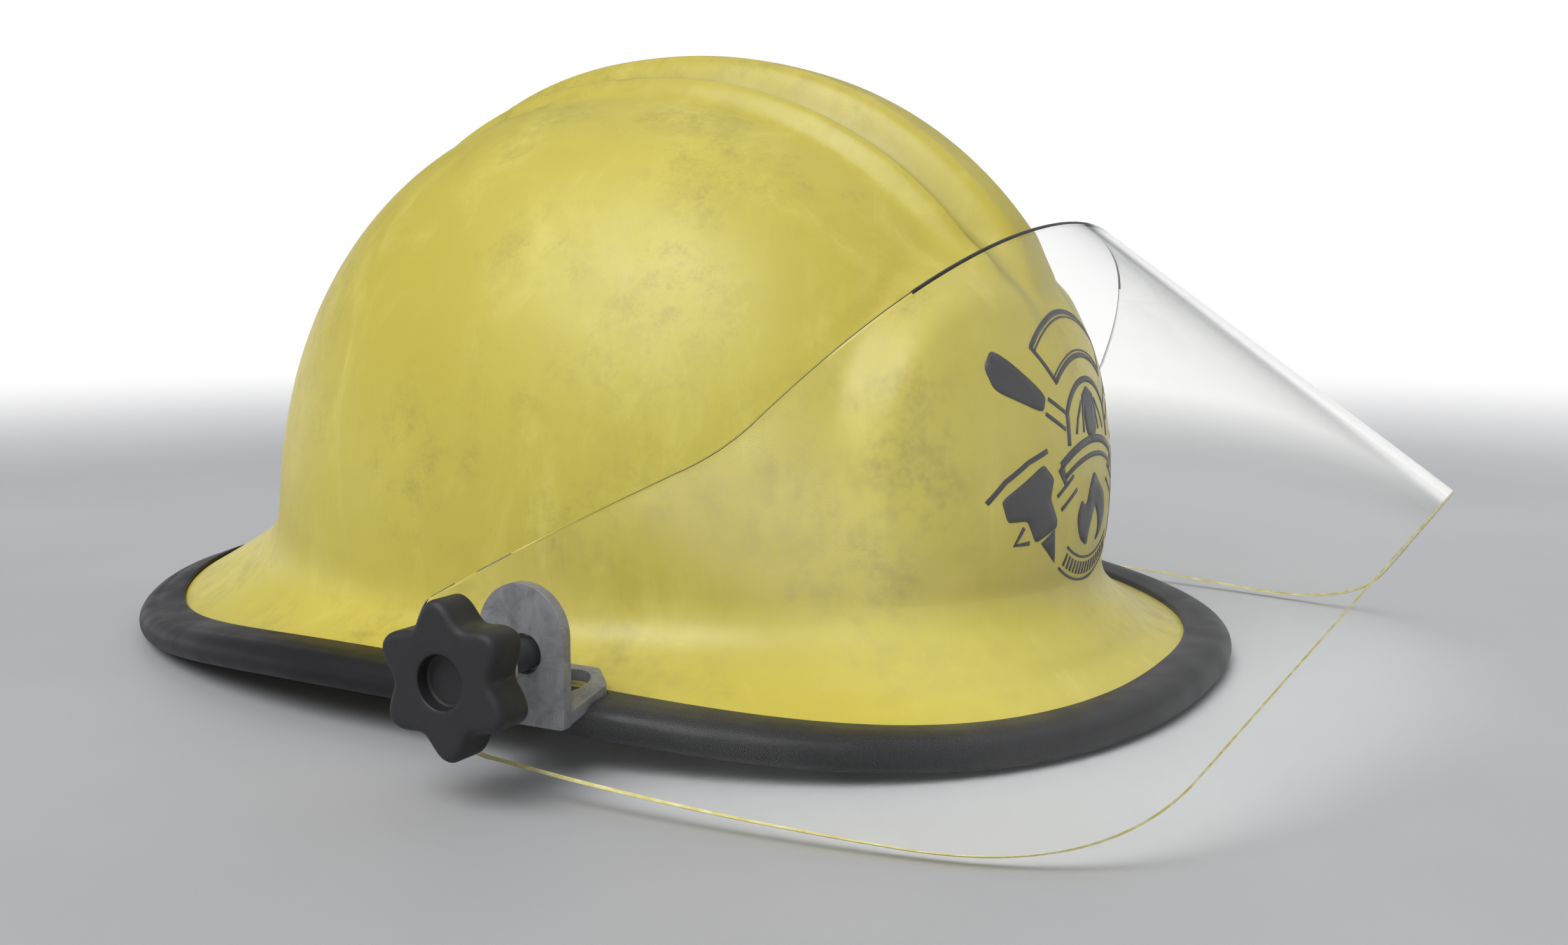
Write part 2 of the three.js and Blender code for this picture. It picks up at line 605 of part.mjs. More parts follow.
// A point of the sheet: turn is 0 straight ahead and 90 degrees at the side, lift is out of the sheet.
function shieldPoint(turn, s, lift) {
  const depth = SHIELD.depth + lift;
  const m = SHIELD.centre + depth * Math.cos(turn);
  const tilt = SHIELD.tiltDeg * deg;
  return new THREE.Vector3(
    (SHIELD.halfWidth + lift) * Math.sin(turn),
    PIVOT.y - s * Math.cos(tilt) - m * Math.sin(tilt),
    PIVOT.z - s * Math.sin(tilt) + m * Math.cos(tilt));
}

function makeShield() {
  const endTurn = Math.acos((-SHIELD_TAB.radius + 0.5 - SHIELD.centre) / SHIELD.depth);
  const bends = 34;
  const rows = 4;
  const sections = Array.from({ length: bends + 1 }, (_, i) => {
    const across = 2 * i / bends - 1;
    const turn = endTurn * Math.sign(across) * (1 - (1 - Math.abs(across)) ** 1.35);
    const m = SHIELD.centre + SHIELD.depth * Math.cos(turn);
    const [top, bottom] = [shieldTopEdge(m), shieldBottomEdge(m)];
    const steps = Array.from({ length: rows + 1 }, (_, j) => top + (bottom - top) * j / rows);
    return [
      ...steps.map((s) => shieldPoint(turn, s, SHIELD.wall / 2)),
      ...steps.reverse().map((s) => shieldPoint(turn, s, -SHIELD.wall / 2)),
    ];
  });
  const hole = (side) => barX(BOLT.shank + GAP + 0.2, side * 140, side * 170, PIVOT.y, PIVOT.z, 16);
  return cut(sweptBody(sections), hole(-1), hole(1));
}

// ---------------------------------------------------------------------------------------------------
// Impact liner, straps and clips
// ---------------------------------------------------------------------------------------------------
function makeLiner() {
  const lowest = climbAt(LINER.baseZ);
  const rows = [...[90, 78, 66, 54, 42, 30, 20].map((climb) => climb * deg), lowest];
  const surface = (offset) => (angle, climb) => {
    const point = domePoint(angle, climb, offset);
    return point.setZ(climb === lowest ? LINER.baseZ : Math.max(point.z, LINER.baseZ));
  };
  const outer = SHELL_WALL + LINER.gap;
  return capBody(aroundAngles(36), rows, surface(outer), surface(outer + LINER.wall));
}

// A place inside the dome at a height and an offset from its outer surface.
const insidePoint = (angle, z, offset) => domePoint(angle, climbAt(z, offset), offset);

// One webbing strap over the crown, between two clips on opposite sides.
function makeStrap(number) {
  const angle = STRAP.degs[number] * deg;
  const foot = insidePoint(angle, STRAP.bottom, STRAP.offset);
  const otherFoot = insidePoint(angle + Math.PI, STRAP.bottom, STRAP.offset);
  const top = STRAP.top - number * STRAP.layer;
  const across = otherFoot.clone().sub(foot).setZ(0).normalize();
  const side = new THREE.Vector3(-across.y, across.x, 0);
  const bends = 22;
  const path = Array.from({ length: bends + 1 }, (_, i) => {
    const turn = Math.PI * i / bends;
    const point = foot.clone().lerp(otherFoot, (1 - Math.cos(turn)) / 2);
    point.z = STRAP.bottom + (top - STRAP.bottom) * Math.sin(turn);
    return point;
  });
  return sweptBody(path.map((point, i) => {
    const along = path[Math.min(i + 1, bends)].clone().sub(path[Math.max(i - 1, 0)]).normalize();
    const thick = side.clone().cross(along).normalize();
    return [[-1, -1], [1, -1], [1, 1], [-1, 1]].map(([u, v]) => point.clone()
      .addScaledVector(side, u * STRAP.width / 2)
      .addScaledVector(thick, v * STRAP.wall / 2));
  }));
}

// Clip that holds a strap's end at the liner's lower edge.
function makeClip(angle) {
  const place = insidePoint(angle, STRAP.bottom, STRAP.offset);
  const out = place.clone().sub(new THREE.Vector3(0, DOME.centreY, 0)).setZ(0).normalize();
  const geometry = new THREE.BoxGeometry(3, STRAP.width + 5, 14);
  geometry.rotateZ(Math.atan2(out.y, out.x));
  geometry.translate(place.x + out.x * 4.2, place.y + out.y * 4.2, STRAP.bottom + 5);
  return geometry;
}

function makeCrownPad() {
  const profile = [[0, 4], [26, 3.2], [35, 0], [26, -3.2], [0, -4]]
    .map(([radius, z]) => new THREE.Vector2(radius, z));
  const geometry = new THREE.LatheGeometry(profile.reverse(), 24);
  geometry.rotateX(Math.PI / 2);
  geometry.scale(1, 1.2, 1);
  geometry.translate(0, DOME.centreY + 11, STRAP.top - 2 * STRAP.layer - 19);
  return facingOut(merged(geometry));
}

// ---------------------------------------------------------------------------------------------------
// Headband and size adjuster
// ---------------------------------------------------------------------------------------------------
// A point on the oval around the head, moved outwards by an offset. Angle 0 is the forehead.
function headPoint(angle, offset, z) {
  const power = 2 / HEAD.power;
  return new THREE.Vector3(
    (HEAD.halfWidth + offset) * signedPower(Math.sin(angle), power),
    HEAD.centreY - (HEAD.halfLength + offset) * signedPower(Math.cos(angle), power),
    z);
}

// Curved strip standing on edge around part of the head.
function headStrip(fromDeg, toDeg, inner, outer, bottom, top, bends) {
  return sweptBody(Array.from({ length: bends + 1 }, (_, i) => {
    const angle = (fromDeg + (toDeg - fromDeg) * i / bends) * deg;
    return [headPoint(angle, inner, bottom), headPoint(angle, outer, bottom),
      headPoint(angle, outer, top), headPoint(angle, inner, top)];
  }));
}

const makeHeadband = () => headStrip(-BAND.endDeg, BAND.endDeg, 0, BAND.wall, BAND.bottom, BAND.top, 44);
const makeBrowPad = () => headStrip(-62, 62, -5.5, -0.5, BAND.bottom + 1, BAND.top - 1, 20);

// Hanger that joins the headband to the liner's edge.
function makeHanger(angleDeg) {
  const angle = angleDeg * deg;
  const place = headPoint(angle, BAND.wall + 1.2 + 1.1, 0);
  const out = place.clone().sub(new THREE.Vector3(0, HEAD.centreY, 0)).normalize();
  const geometry = new THREE.BoxGeometry(2.2, 11, 22);
  geometry.rotateZ(Math.atan2(out.y, out.x));
  geometry.translate(place.x, place.y, BAND.top + 1);
  return geometry;
}

// Faces of the racks towards the pinion and away from it, and the middle of their thickness.
const rackRoot = RACK.pitchRadius + 1.1;
const rackTop = rackRoot + RACK.height;
const rackMiddle = NAPE.y + RACK.from + RACK.wall / 2;

// Toothed rack in the adjuster. The left rack is above the pinion, and the right one is the same piece
// turned half a turn below it.
function makeRack() {
  const pitch = 2 * Math.PI * RACK.pitchRadius / PINION_TEETH;
  const tip = RACK.pitchRadius - 0.8;
  const shape = new THREE.Shape();
  shape.moveTo(RACK.outerEnd, rackTop);
  shape.lineTo(-RACK.reach, rackTop);
  shape.lineTo(-RACK.reach, rackRoot);
  for (let i = 0; i < RACK.teeth; i += 1) {
    const x = (i - 2.5) * pitch;
    shape.lineTo(x - 0.3 * pitch, rackRoot);
    shape.lineTo(x - 0.1 * pitch, tip);
    shape.lineTo(x + 0.1 * pitch, tip);
    shape.lineTo(x + 0.3 * pitch, rackRoot);
  }
  shape.lineTo(RACK.outerEnd, rackRoot);
  return plateY(shape, rackMiddle - RACK.wall / 2, rackMiddle + RACK.wall / 2);
}

// Strip from the end of a rack round to the inside of the headband's end.
function makeTail() {
  const [inBand, inBandEnd] = [headPoint(122 * deg, -2.9, 0), headPoint(112 * deg, -2.9, 0)];
  const route = new THREE.CatmullRomCurve3([
    new THREE.Vector3(RACK.outerEnd + TAIL_GAP, rackMiddle, 0),
    new THREE.Vector3(RACK.outerEnd + 8, rackMiddle - 0.1, 0),
    new THREE.Vector3(50, rackMiddle - 8, 0), new THREE.Vector3(59, rackMiddle - 22, 0), inBand, inBandEnd]);
  const bends = 14;
  return sweptBody(Array.from({ length: bends + 1 }, (_, i) => {
    const point = route.getPoint(i / bends);
    const along = route.getTangent(i / bends);
    const out = new THREE.Vector3(along.y, -along.x, 0).multiplyScalar(RACK.wall / 2);
    return [[1, rackRoot], [-1, rackRoot], [-1, rackTop], [1, rackTop]].map(([side, z]) =>
      point.clone().addScaledVector(out, side).setZ(z));
  }));
}

// Moves a left rack or tail to the adjuster's height, or turns it over to make the right one.
const onLeft = (geometry) => geometry.translate(0, 0, NAPE.z);
const onRight = (geometry) => geometry.rotateY(Math.PI).translate(0, 0, NAPE.z);

const napeOutline = () => roundedRectangle(NAPE.halfWidth, NAPE.halfHeight + 3, 5, 0, NAPE.z);
const makeNapeBase = () => plateY(napeOutline(), NAPE.y - 2.4, NAPE.y - 0.1, 4);

function makeNapeCover() {
  const cover = plateY(napeOutline(), NAPE.y + 0.1, NAPE.y + NAPE.depth, 4);
  const channel = blockBetween(
    [-NAPE.halfWidth - 5, NAPE.y - 1, NAPE.z - NAPE.halfHeight - 0.6],
    [NAPE.halfWidth + 5, NAPE.y + RACK.from + RACK.wall + 0.4, NAPE.z + NAPE.halfHeight + 0.6]);
  return cut(cover, channel, barY(4, NAPE.y, NAPE.y + 10, 0, NAPE.z, 20));
}

function makeSizeKnob() {
  const shape = new THREE.Shape(Array.from({ length: 48 }, (_, i) => {
    const turn = (2 * Math.PI * i) / 48;
    const radius = SIZE_KNOB.mean + SIZE_KNOB.lobe * Math.cos(SIZE_KNOB.lobes * turn);
    return new THREE.Vector2(radius * Math.cos(turn), NAPE.z + radius * Math.sin(turn));
  }));
  const coverFace = NAPE.y + NAPE.depth;
  const grip = plateY(shape, coverFace + GAP, coverFace + SIZE_KNOB.depth);
  const pinionFace = NAPE.y + RACK.from + RACK.wall;
  return join(grip, barY(SIZE_KNOB.shaft, pinionFace + GAP, coverFace + 2, 0, NAPE.z, 18));
}

// Pinion between the two racks.
function makePinion() {
  const tooth = [[-0.5, 4.9], [-0.2, 4.9], [-0.07, 6.6], [0.07, 6.6], [0.2, 4.9]];
  const points = [];
  for (let i = 0; i < PINION_TEETH; i += 1) {
    for (const [turn, radius] of tooth) {
      const at = 2 * Math.PI * (i + turn) / PINION_TEETH;
      points.push(new THREE.Vector2(radius * Math.sin(at), NAPE.z + radius * Math.cos(at)));
    }
  }
  return plateY(new THREE.Shape(points), NAPE.y + RACK.from, NAPE.y + RACK.from + RACK.wall);
}

const makeNapePad = () => headStrip(154, 206, -6.6, -1.6, NAPE.z - 13, NAPE.z + 13, 10);

// ---------------------------------------------------------------------------------------------------
// Assembly
// ---------------------------------------------------------------------------------------------------
const MATERIALS = {
  shell: [0xcfc05c, 0.42, 0],
  trim: [0x3a3b40, 0.62, 0],
  emblem: [0x33343a, 0.55, 0],
  bracket: [0x74757b, 0.45, 0.9],
  rivet: [0x8b8c90, 0.4, 0.9],
  bolt: [0x9a9ba0, 0.35, 0.9],
  washer: [0x8e8f94, 0.4, 0.9],
  collar: [0x1d1e22, 0.55, 0],
  knob: [0x323335, 0.6, 0],
  shield: [0xe8ecdf, 0.05, 0],
  liner: [0x2b2c2f, 0.9, 0],
  strap: [0x1f2023, 0.9, 0],
  clip: [0x26272b, 0.6, 0],
  band: [0x232428, 0.55, 0],
  pad: [0x2f3033, 0.95, 0],
};

function meshOf(name, finish, geometry) {
  const [color, roughness, metalness] = MATERIALS[finish];
  const material = new THREE.MeshStandardMaterial({ color, roughness, metalness });
  if (finish === "shield") {
    material.transparent = true;
    material.opacity = 0.3;
  }
  const mesh = new THREE.Mesh(geometry, material);
  mesh.name = name;
  return mesh;
}

const helmet = new THREE.Group();

function addBothSides(name, finish, geometry) {
  helmet.add(meshOf(`${name}_right`, finish, geometry));
  helmet.add(meshOf(`${name}_left`, finish, mirrored(geometry)));
}

helmet.add(meshOf("shell", "shell", makeShell()));
helmet.add(meshOf("edge_trim", "trim", makeTrim()));
helmet.add(meshOf("front_emblem", "emblem", makeEmblem()));
addBothSides("bracket", "bracket", makeBracket());
addBothSides("bracket_rivet_outer", "rivet", makeRivet(RIVET.xs[0]));
addBothSides("bracket_rivet_inner", "rivet", makeRivet(RIVET.xs[1]));
addBothSides("pivot_bolt", "bolt", makeBolt());
addBothSides("spring_washer", "washer", makeSpringWasher());
addBothSides("pivot_collar", "collar", makeCollar());
addBothSides("shield_washer", "washer", makeShieldWasher());
addBothSides("shield_knob", "knob", makeKnob());
helmet.add(meshOf("face_shield", "shield", makeShield()));
helmet.add(meshOf("impact_liner", "liner", makeLiner()));
STRAP.degs.forEach((angle, number) => {
  helmet.add(meshOf(`crown_strap_${number + 1}`, "strap", makeStrap(number)));
  helmet.add(meshOf(`strap_clip_${number + 1}a`, "clip", makeClip(angle * deg)));
  helmet.add(meshOf(`strap_clip_${number + 1}b`, "clip", makeClip(angle * deg + Math.PI)));
});
helmet.add(meshOf("crown_pad", "pad", makeCrownPad()));
helmet.add(meshOf("headband", "band", makeHeadband()));
helmet.add(meshOf("brow_pad", "pad", makeBrowPad()));
Object.entries(HANGER_DEGS).forEach(([place, angle]) => {
  helmet.add(meshOf(`headband_hanger_${place}`, "clip", makeHanger(angle)));
});
helmet.add(meshOf("nape_base", "band", makeNapeBase()));
helmet.add(meshOf("nape_cover", "band", makeNapeCover()));
helmet.add(meshOf("size_rack_right", "band", onRight(makeRack())));
helmet.add(meshOf("size_rack_left", "band", onLeft(makeRack())));
helmet.add(meshOf("band_tail_right", "band", onRight(makeTail())));
helmet.add(meshOf("band_tail_left", "band", onLeft(makeTail())));
helmet.add(meshOf("size_pinion", "band", makePinion()));
helmet.add(meshOf("size_knob", "knob", makeSizeKnob()));
helmet.add(meshOf("nape_pad", "pad", makeNapePad()));

// Puts the origin under the middle of the whole helmet, from the shield's front to the trim's rear.
const shieldFront = shieldPoint(0, SHIELD.bottom, SHIELD.wall / 2).y;
const trimRear = RIM.rear + TRIM.halfWidth;
helmet.position.y = -(shieldFront + trimRear) / 2;

export default helmet;
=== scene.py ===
"""Firefighter helmet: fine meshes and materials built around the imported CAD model.

Shapes are worked out in millimetres in the shell's own frame, where Y = 0 is at the widest part of the
brim. placed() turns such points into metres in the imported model's frame.
"""

from math import acos, atan2, cos, hypot, radians, sin, sqrt, tan
from types import SimpleNamespace as Sizes

import bmesh
import bpy
import numpy as np
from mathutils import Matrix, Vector
from mathutils.bvhtree import BVHTree


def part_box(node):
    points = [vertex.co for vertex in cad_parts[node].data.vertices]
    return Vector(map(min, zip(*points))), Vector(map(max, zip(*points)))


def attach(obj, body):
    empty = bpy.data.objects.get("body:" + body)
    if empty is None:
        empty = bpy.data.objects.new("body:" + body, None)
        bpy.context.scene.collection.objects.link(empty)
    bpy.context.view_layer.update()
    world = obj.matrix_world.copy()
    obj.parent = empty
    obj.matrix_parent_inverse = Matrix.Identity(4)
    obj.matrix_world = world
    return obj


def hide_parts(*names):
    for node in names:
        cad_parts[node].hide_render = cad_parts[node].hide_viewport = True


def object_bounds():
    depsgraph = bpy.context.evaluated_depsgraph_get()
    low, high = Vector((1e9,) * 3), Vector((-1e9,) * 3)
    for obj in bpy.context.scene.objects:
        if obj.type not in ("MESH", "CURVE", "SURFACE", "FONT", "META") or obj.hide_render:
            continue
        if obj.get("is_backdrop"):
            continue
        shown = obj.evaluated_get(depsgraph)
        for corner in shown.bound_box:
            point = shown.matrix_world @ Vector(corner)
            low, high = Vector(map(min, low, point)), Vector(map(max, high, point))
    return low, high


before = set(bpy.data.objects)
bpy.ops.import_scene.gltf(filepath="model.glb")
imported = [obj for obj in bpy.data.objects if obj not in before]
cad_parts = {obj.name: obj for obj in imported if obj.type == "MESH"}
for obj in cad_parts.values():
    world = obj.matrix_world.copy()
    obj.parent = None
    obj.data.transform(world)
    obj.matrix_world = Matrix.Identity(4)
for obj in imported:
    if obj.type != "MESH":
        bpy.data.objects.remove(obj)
cad_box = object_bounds()

# ---- Driving dimensions, in millimetres and degrees ----
RIM = Sizes(front=198.4, rear=160.5, half_width=131.7, front_power=2.3, rear_power=2.0)
RIM_WIDEN = Sizes(linear=0.16, square=0.09)
RIM_LIFT = (3.67, 0.14, -4.02, -1.84, 2.05)
TRIM = Sizes(half_width=5.7, half_height=4.75, lip=8.6)
DOME = Sizes(centre_y=-22.6, front=144.0, rear=124.9, half_width=106.0, height=141.5)
DOME_POWER = Sizes(plan=2.12, side=2.18)
DOME_BASE = Sizes(middle=30.5, slope=-9.0, twist=1.1)
SHELL_WALL = 3.0
BRIM_EDGE = 2.0
BRIM_SLOPE_DEG = Sizes(front=8.0, side=4.0, rear=17.5)
BRIM_FLAT = Sizes(front=0.6, side=0.25)
BRIM_DROP = Sizes(front=12.0, side=2.0, rear=-6.0)
FILLET = 9.0
GROOVE = Sizes(at=16.5, half_width=4.5, from_z=92.0, full_z=118.0, dirt=0.6)  # the groove by the comb's rib, and the strength of the painted shade along it
COMB = Sizes(rise=13.2, peak_deg=58.0, span_deg=92.0, starts_deg=(26, 38), rib=12.5)
BEAD = Sizes(at=20.5, half_width=4.5, share=0.36, pad=24, pad_share=0.14)  # beside the comb's rib
BOSS = Sizes(half_width=74.0, bottom=30.0, height=89.0, power=2.6, rise=8.8, edge=0.07,
             middle=28, softer_middle=0.17, fade_from=28, fade_height=62, fade_power=0.75)
EMBLEM_CENTRE = 69.0
PEN = 1.25  # how bold the badge is drawn
SHIELD = Sizes(tilt_deg=35.5, half_width=156.5, depth=131.9, centre=-2.1, bottom=130.9, wall=2.4)
SHIELD_TAB = Sizes(radius=22.5, lower_at=41.6, lower_slope=1.57, upper_at=-22.8, upper_slope=0.49)
# dark_from: where the painted shade along the shield's upper edge begins, as the cosine of the turn.
SHIELD_TOP = Sizes(at=12.4, slope=-0.03, dark_from=0.84)
FOOT = Sizes(slope_deg=12.5, top_at_plate=16.7, chamfer=7.0)
FOOT_HOLE = Sizes(radius=6.3, x=128.4, y=-79.6)
PLATE_WALL = 3.0
PLATE_HOLE = 4.8
KNOB = Sizes(mean=15.9, lobe=2.2, lobes=6, turned_deg=84.0, thick=10.6, hub=5.2)
KNOB_RECESS = Sizes(radius=6.2, depth=3.6)
KNOB_POINTS = 288  # round a lobed outline
RING_BORE = 2.8  # of the washers, the collars and the knobs
HEAD = Sizes(centre_y=-31.0, half_length=97.0, half_width=77.0, power=2.2)
LINER_GAP = 4.0
LINER_WALL = 13.4
LINER_BASE = 56.0
STRAP = Sizes(width=19.0, wall=1.2, bottom=53.0, top=138.0, offset=34.0, layer=3.0)
STRAP_DEGS = (32.0, 90.0, 148.0)

MM = 0.001
SHIFT_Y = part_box("edge_trim")[1].y / MM - (RIM.rear + TRIM.half_width)  # from shell's to model's frame


def placed(points):
    """Points of the shell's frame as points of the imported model, in metres."""
    return (np.asarray(points, float) + (0.0, SHIFT_Y, 0.0)) * MM


def node_box(name):
    """Lowest and highest corner of a CAD node, in the shell's frame."""
    low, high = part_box(name)
    return np.array(low) / MM - (0, SHIFT_Y, 0), np.array(high) / MM - (0, SHIFT_Y, 0)


def node_centre(name):
    low, high = node_box(name)
    return (low + high) / 2


PIVOT = node_centre("pivot_collar_right")[1:]  # Y and Z of the shield's pivot


# ---- Small maths ----
def signed_power(value, power):
    return np.sign(value) * np.abs(value) ** power


def smooth_step(low, high, value):
    x = np.clip((value - low) / (high - low), 0, 1)
    return x * x * (3 - 2 * x)


def smooth_max(a, b, softness):
    h = np.maximum(softness - np.abs(a - b), 0) / softness
    return np.maximum(a, b) + h * h * softness / 4


def smooth_min(a, b, softness):
    return -smooth_max(-a, -b, softness)


def hump(distance, width, power=2):
    """1 in the middle, falling away smoothly over a width."""
    return np.exp(-((distance / width) ** power))


def unit(vectors):
    return vectors / np.maximum(np.linalg.norm(vectors, axis=-1, keepdims=True), 1e-12)


def stack(x, y, z):
    return np.stack(np.broadcast_arrays(x, y, z), -1)


def around_angles(count, bunching=0.25):
    """Angles round the helmet, bunched at the front and the rear."""
    even = 2 * np.pi * np.arange(count) / count
    return even - bunching * np.sin(2 * even)


def rounded(points, share, steps):
    """A closed outline with its corners rounded over a share of the sides next to them."""
    points = np.asarray(points, float)
    made = []
    for corner, before, after, share in zip(points, np.roll(points, 1, 0), np.roll(points, -1, 0),
                                            np.broadcast_to(share, len(points))):
        start, end = corner + (before - corner) * share, corner + (after - corner) * share
        for t in np.linspace(0, 1, steps + 1):
            made.append((1 - t) ** 2 * start + 2 * t * (1 - t) * corner + t * t * end)
    made = np.array(made)
    keep = np.linalg.norm(made - np.roll(made, 1, 0), axis=1) > 1e-6
    keep[0] = True
    return made[keep]


# ---- The surface of the shell ----
def rim_point(angle):
    """Centre line of the trim."""
    c, s = np.cos(angle), np.sin(angle)
    power = 2 / np.where(c > 0, RIM.front_power, RIM.rear_power)
    length = np.where(c > 0, RIM.front, RIM.rear)
    widen = 1 + RIM_WIDEN.linear * c + RIM_WIDEN.square * c * c
    lift = sum(size * np.cos(turn * angle) for turn, size in enumerate(RIM_LIFT))
    x = RIM.half_width * signed_power(s, power) * widen
    return stack(x, -length * signed_power(c, power), TRIM.half_height + lift)


def rim_out(angle):
    """Level direction straight out from the rim."""
    step = 1e-3
    along = rim_point(angle + step) - rim_point(angle - step)
    out = unit(stack(along[..., 1], -along[..., 0], 0.0))
    away = np.sum(out[..., :2] * rim_point(angle)[..., :2], -1, keepdims=True)
    return np.where(away < 0, -out, out)


def brim_slope(angle):
    c = np.cos(angle)
    side = (1 - np.maximum(0, c)) ** 2
    rear = np.maximum(0, -c) ** 2
    slope = BRIM_SLOPE_DEG.front + BRIM_SLOPE_DEG.side * side + BRIM_SLOPE_DEG.rear * rear
    return np.tan(np.radians(slope))


def dome_foot(angle):
    base = DOME_BASE.middle + DOME_BASE.slope * np.cos(angle)
    return base + DOME_BASE.twist * np.cos(2 * angle)


def dome_point(angle, climb, offset=0.0):
    """Plain dome, moved inwards by an offset."""
    c, s = np.cos(angle), np.sin(angle)
    length = np.where(c > 0, DOME.front, DOME.rear) - offset
    shrink = np.maximum(np.cos(climb), 0) ** (2 / DOME_POWER.side)
    plan = 2 / DOME_POWER.plan
    rise = np.maximum(np.sin(climb), 0) ** (2 / DOME_POWER.side)
    return stack(
        (DOME.half_width - offset) * signed_power(s, plan) * shrink,
        DOME.centre_y - length * signed_power(c, plan) * shrink,
        DOME_BASE.middle + (DOME.height - offset) * rise)


def comb_rise(point):
    """Height of the comb: a centre rib with a groove and a small bead on each side."""
    x, y, z = np.abs(point[..., 0]), point[..., 1], point[..., 2]
    along = np.degrees(np.arctan2(z - DOME_BASE.middle, DOME.centre_y - y))
    swing = np.clip(np.abs(along - COMB.peak_deg) / COMB.span_deg, 0, 1)
    height = COMB.rise * np.cos(swing * np.pi / 2) ** 1.4 * smooth_step(*COMB.starts_deg, along)
    rib = hump(x, COMB.rib, 6)
    bead = BEAD.share * hump(x - BEAD.at, BEAD.half_width)
    pad = BEAD.pad_share * hump(x, BEAD.pad, 8)
    return height * np.minimum(1, rib + (bead + pad) * (1 - 0.9 * rib))


def boss_rise(point):
    """Height of the front boss, arched at the top and fading out towards the brim."""
    x, y, z = np.abs(point[..., 0]), point[..., 1], point[..., 2]
    across = (x / BOSS.half_width) ** BOSS.power
    up = np.maximum(0, (z - BOSS.bottom) / BOSS.height) ** BOSS.power
    edge = BOSS.edge + BOSS.softer_middle * hump(x, BOSS.middle)
    inside = 1 - smooth_step(1 - edge, 1 + edge, (across + up) ** (1 / BOSS.power))
    fade = np.clip((z - BOSS.fade_from) / BOSS.fade_height, 0, 1) ** BOSS.fade_power
    return np.where(y > DOME.centre_y, 0, BOSS.rise * inside * fade)


def crown_point(angle, climb):
    """Outer surface of the dome with its comb and boss."""
    point = dome_point(angle, climb)
    out = unit(point - dome_point(angle, climb, 1.0))
    comb, boss = comb_rise(point), boss_rise(point)
    return point + out * smooth_max(comb, boss, 1.5 + 1.4 * np.minimum(comb, boss))[..., None]


def climb_at(z, offset=0.0):
    share = np.clip((z - DOME_BASE.middle) / (DOME.height - offset), 0, 1)
    return np.arcsin(share ** (DOME_POWER.side / 2))


def fillet_climb(angle):
    return climb_at(dome_foot(angle) + FILLET)


def brim_point(angle, share):
    """Outer surface of the brim, from the dome (0) to the edge inside the trim (1)."""
    start = crown_point(angle, fillet_climb(angle))
    out = rim_out(angle)
    end = rim_point(angle) + out * BRIM_EDGE + (0, 0, 0.5)
    span = np.linalg.norm((end - start)[..., :2], axis=-1)
    side = smooth_step(0.75, 0.1, np.cos(angle))
    flat = (BRIM_FLAT.front + BRIM_FLAT.side * side) * span
    handle_down = start + out
    handle_down[..., 2] -= BRIM_DROP.front + BRIM_DROP.side * side
    handle_down[..., 2] -= BRIM_DROP.rear * smooth_step(0, 0.8, -np.cos(angle))
    handle_in = end - out * flat[..., None]
    handle_in[..., 2] += flat * brim_slope(angle)
    t = np.asarray(share)[..., None]
    curve = (1 - t) ** 3 * start + 3 * t * (1 - t) ** 2 * handle_down
    return curve + 3 * t * t * (1 - t) * handle_in + t ** 3 * end


def row_climb(angle, row):
    foot = fillet_climb(angle)
    return foot - row * (np.pi / 2 - foot)


def brim_step(angle, share):
    """Low step across the front of the brim."""
    front = smooth_step(0.55, 0.85, np.cos(angle))
    return 1.3 * front * (1 - smooth_step(0.5, 0.62, share)) * smooth_step(0.1, 0.4, share)


def shell_outer(angle, row):
    """Row -1 is the top of the dome, 0 its foot and 1 the edge of the brim."""
    if row <= 0:
        return crown_point(angle, row_climb(angle, row))
    point = brim_point(angle, np.full_like(angle, row))
    point[..., 2] += brim_step(angle, np.full_like(angle, row))
    return point


def shell_inner(angle, row):
    """The inside follows the comb and the boss only roughly."""
    if row > 0:
        return shell_outer(angle, row) - (0, 0, SHELL_WALL) - rim_out(angle) * 0.6 * (1 - row)
    point = dome_point(angle, row_climb(angle, row), SHELL_WALL)
    hollow = 0.7 * boss_rise(point) + 0.7 * comb_rise(point) * hump(point[..., 0], 15, 4)
    out = unit(point - dome_point(angle, row_climb(angle, row), SHELL_WALL + 1))
    return point + out * hollow[..., None]


# ---- Mesh helpers ----
def points_of(made):
    return np.array([vert.co for vert in made.data.vertices])


def move_points(made, points):
    made.data.vertices.foreach_set("co", points.ravel())
    made.data.update()


def linked(mesh):
    made = bpy.data.objects.new("piece", mesh)
    bpy.context.scene.collection.objects.link(made)
    return made


def smoothed(made, sharp_deg=None):
    """Smooth shading, sharp where faces meet at more than an angle."""
    made.data.polygons.foreach_set("use_smooth", [True] * len(made.data.polygons))
    if sharp_deg:
        made.data.set_sharp_from_angle(angle=radians(sharp_deg))
    return made


def object_from(bm, sharp_deg=40):
    bmesh.ops.recalc_face_normals(bm, faces=bm.faces)
    mesh = bpy.data.meshes.new("piece")
    bm.to_mesh(mesh)
    bm.free()
    return smoothed(linked(mesh), sharp_deg)


def skin(rings, ends="fill", sharp_deg=40):
    """Surface through rings of points, with its ends filled, or joined to each other for loop."""
    rings = placed(rings)
    rows, columns = rings.shape[:2]
    bm = bmesh.new()
    grid = [[bm.verts.new(point) for point in ring] for ring in rings]
    for i in range(rows if ends == "loop" else rows - 1):
        low, high = grid[i], grid[(i + 1) % rows]
        for j in range(columns):
            k = (j + 1) % columns
            bm.faces.new((low[j], low[k], high[k], high[j]))
    if ends == "fill":
        for ring, points in ((grid[0], rings[0]), (grid[-1], rings[-1])):
            if np.ptp(points, axis=0).max() > 1e-6:
                bm.faces.new(ring)
    bmesh.ops.remove_doubles(bm, verts=bm.verts, dist=1e-7)
    return object_from(bm, sharp_deg)


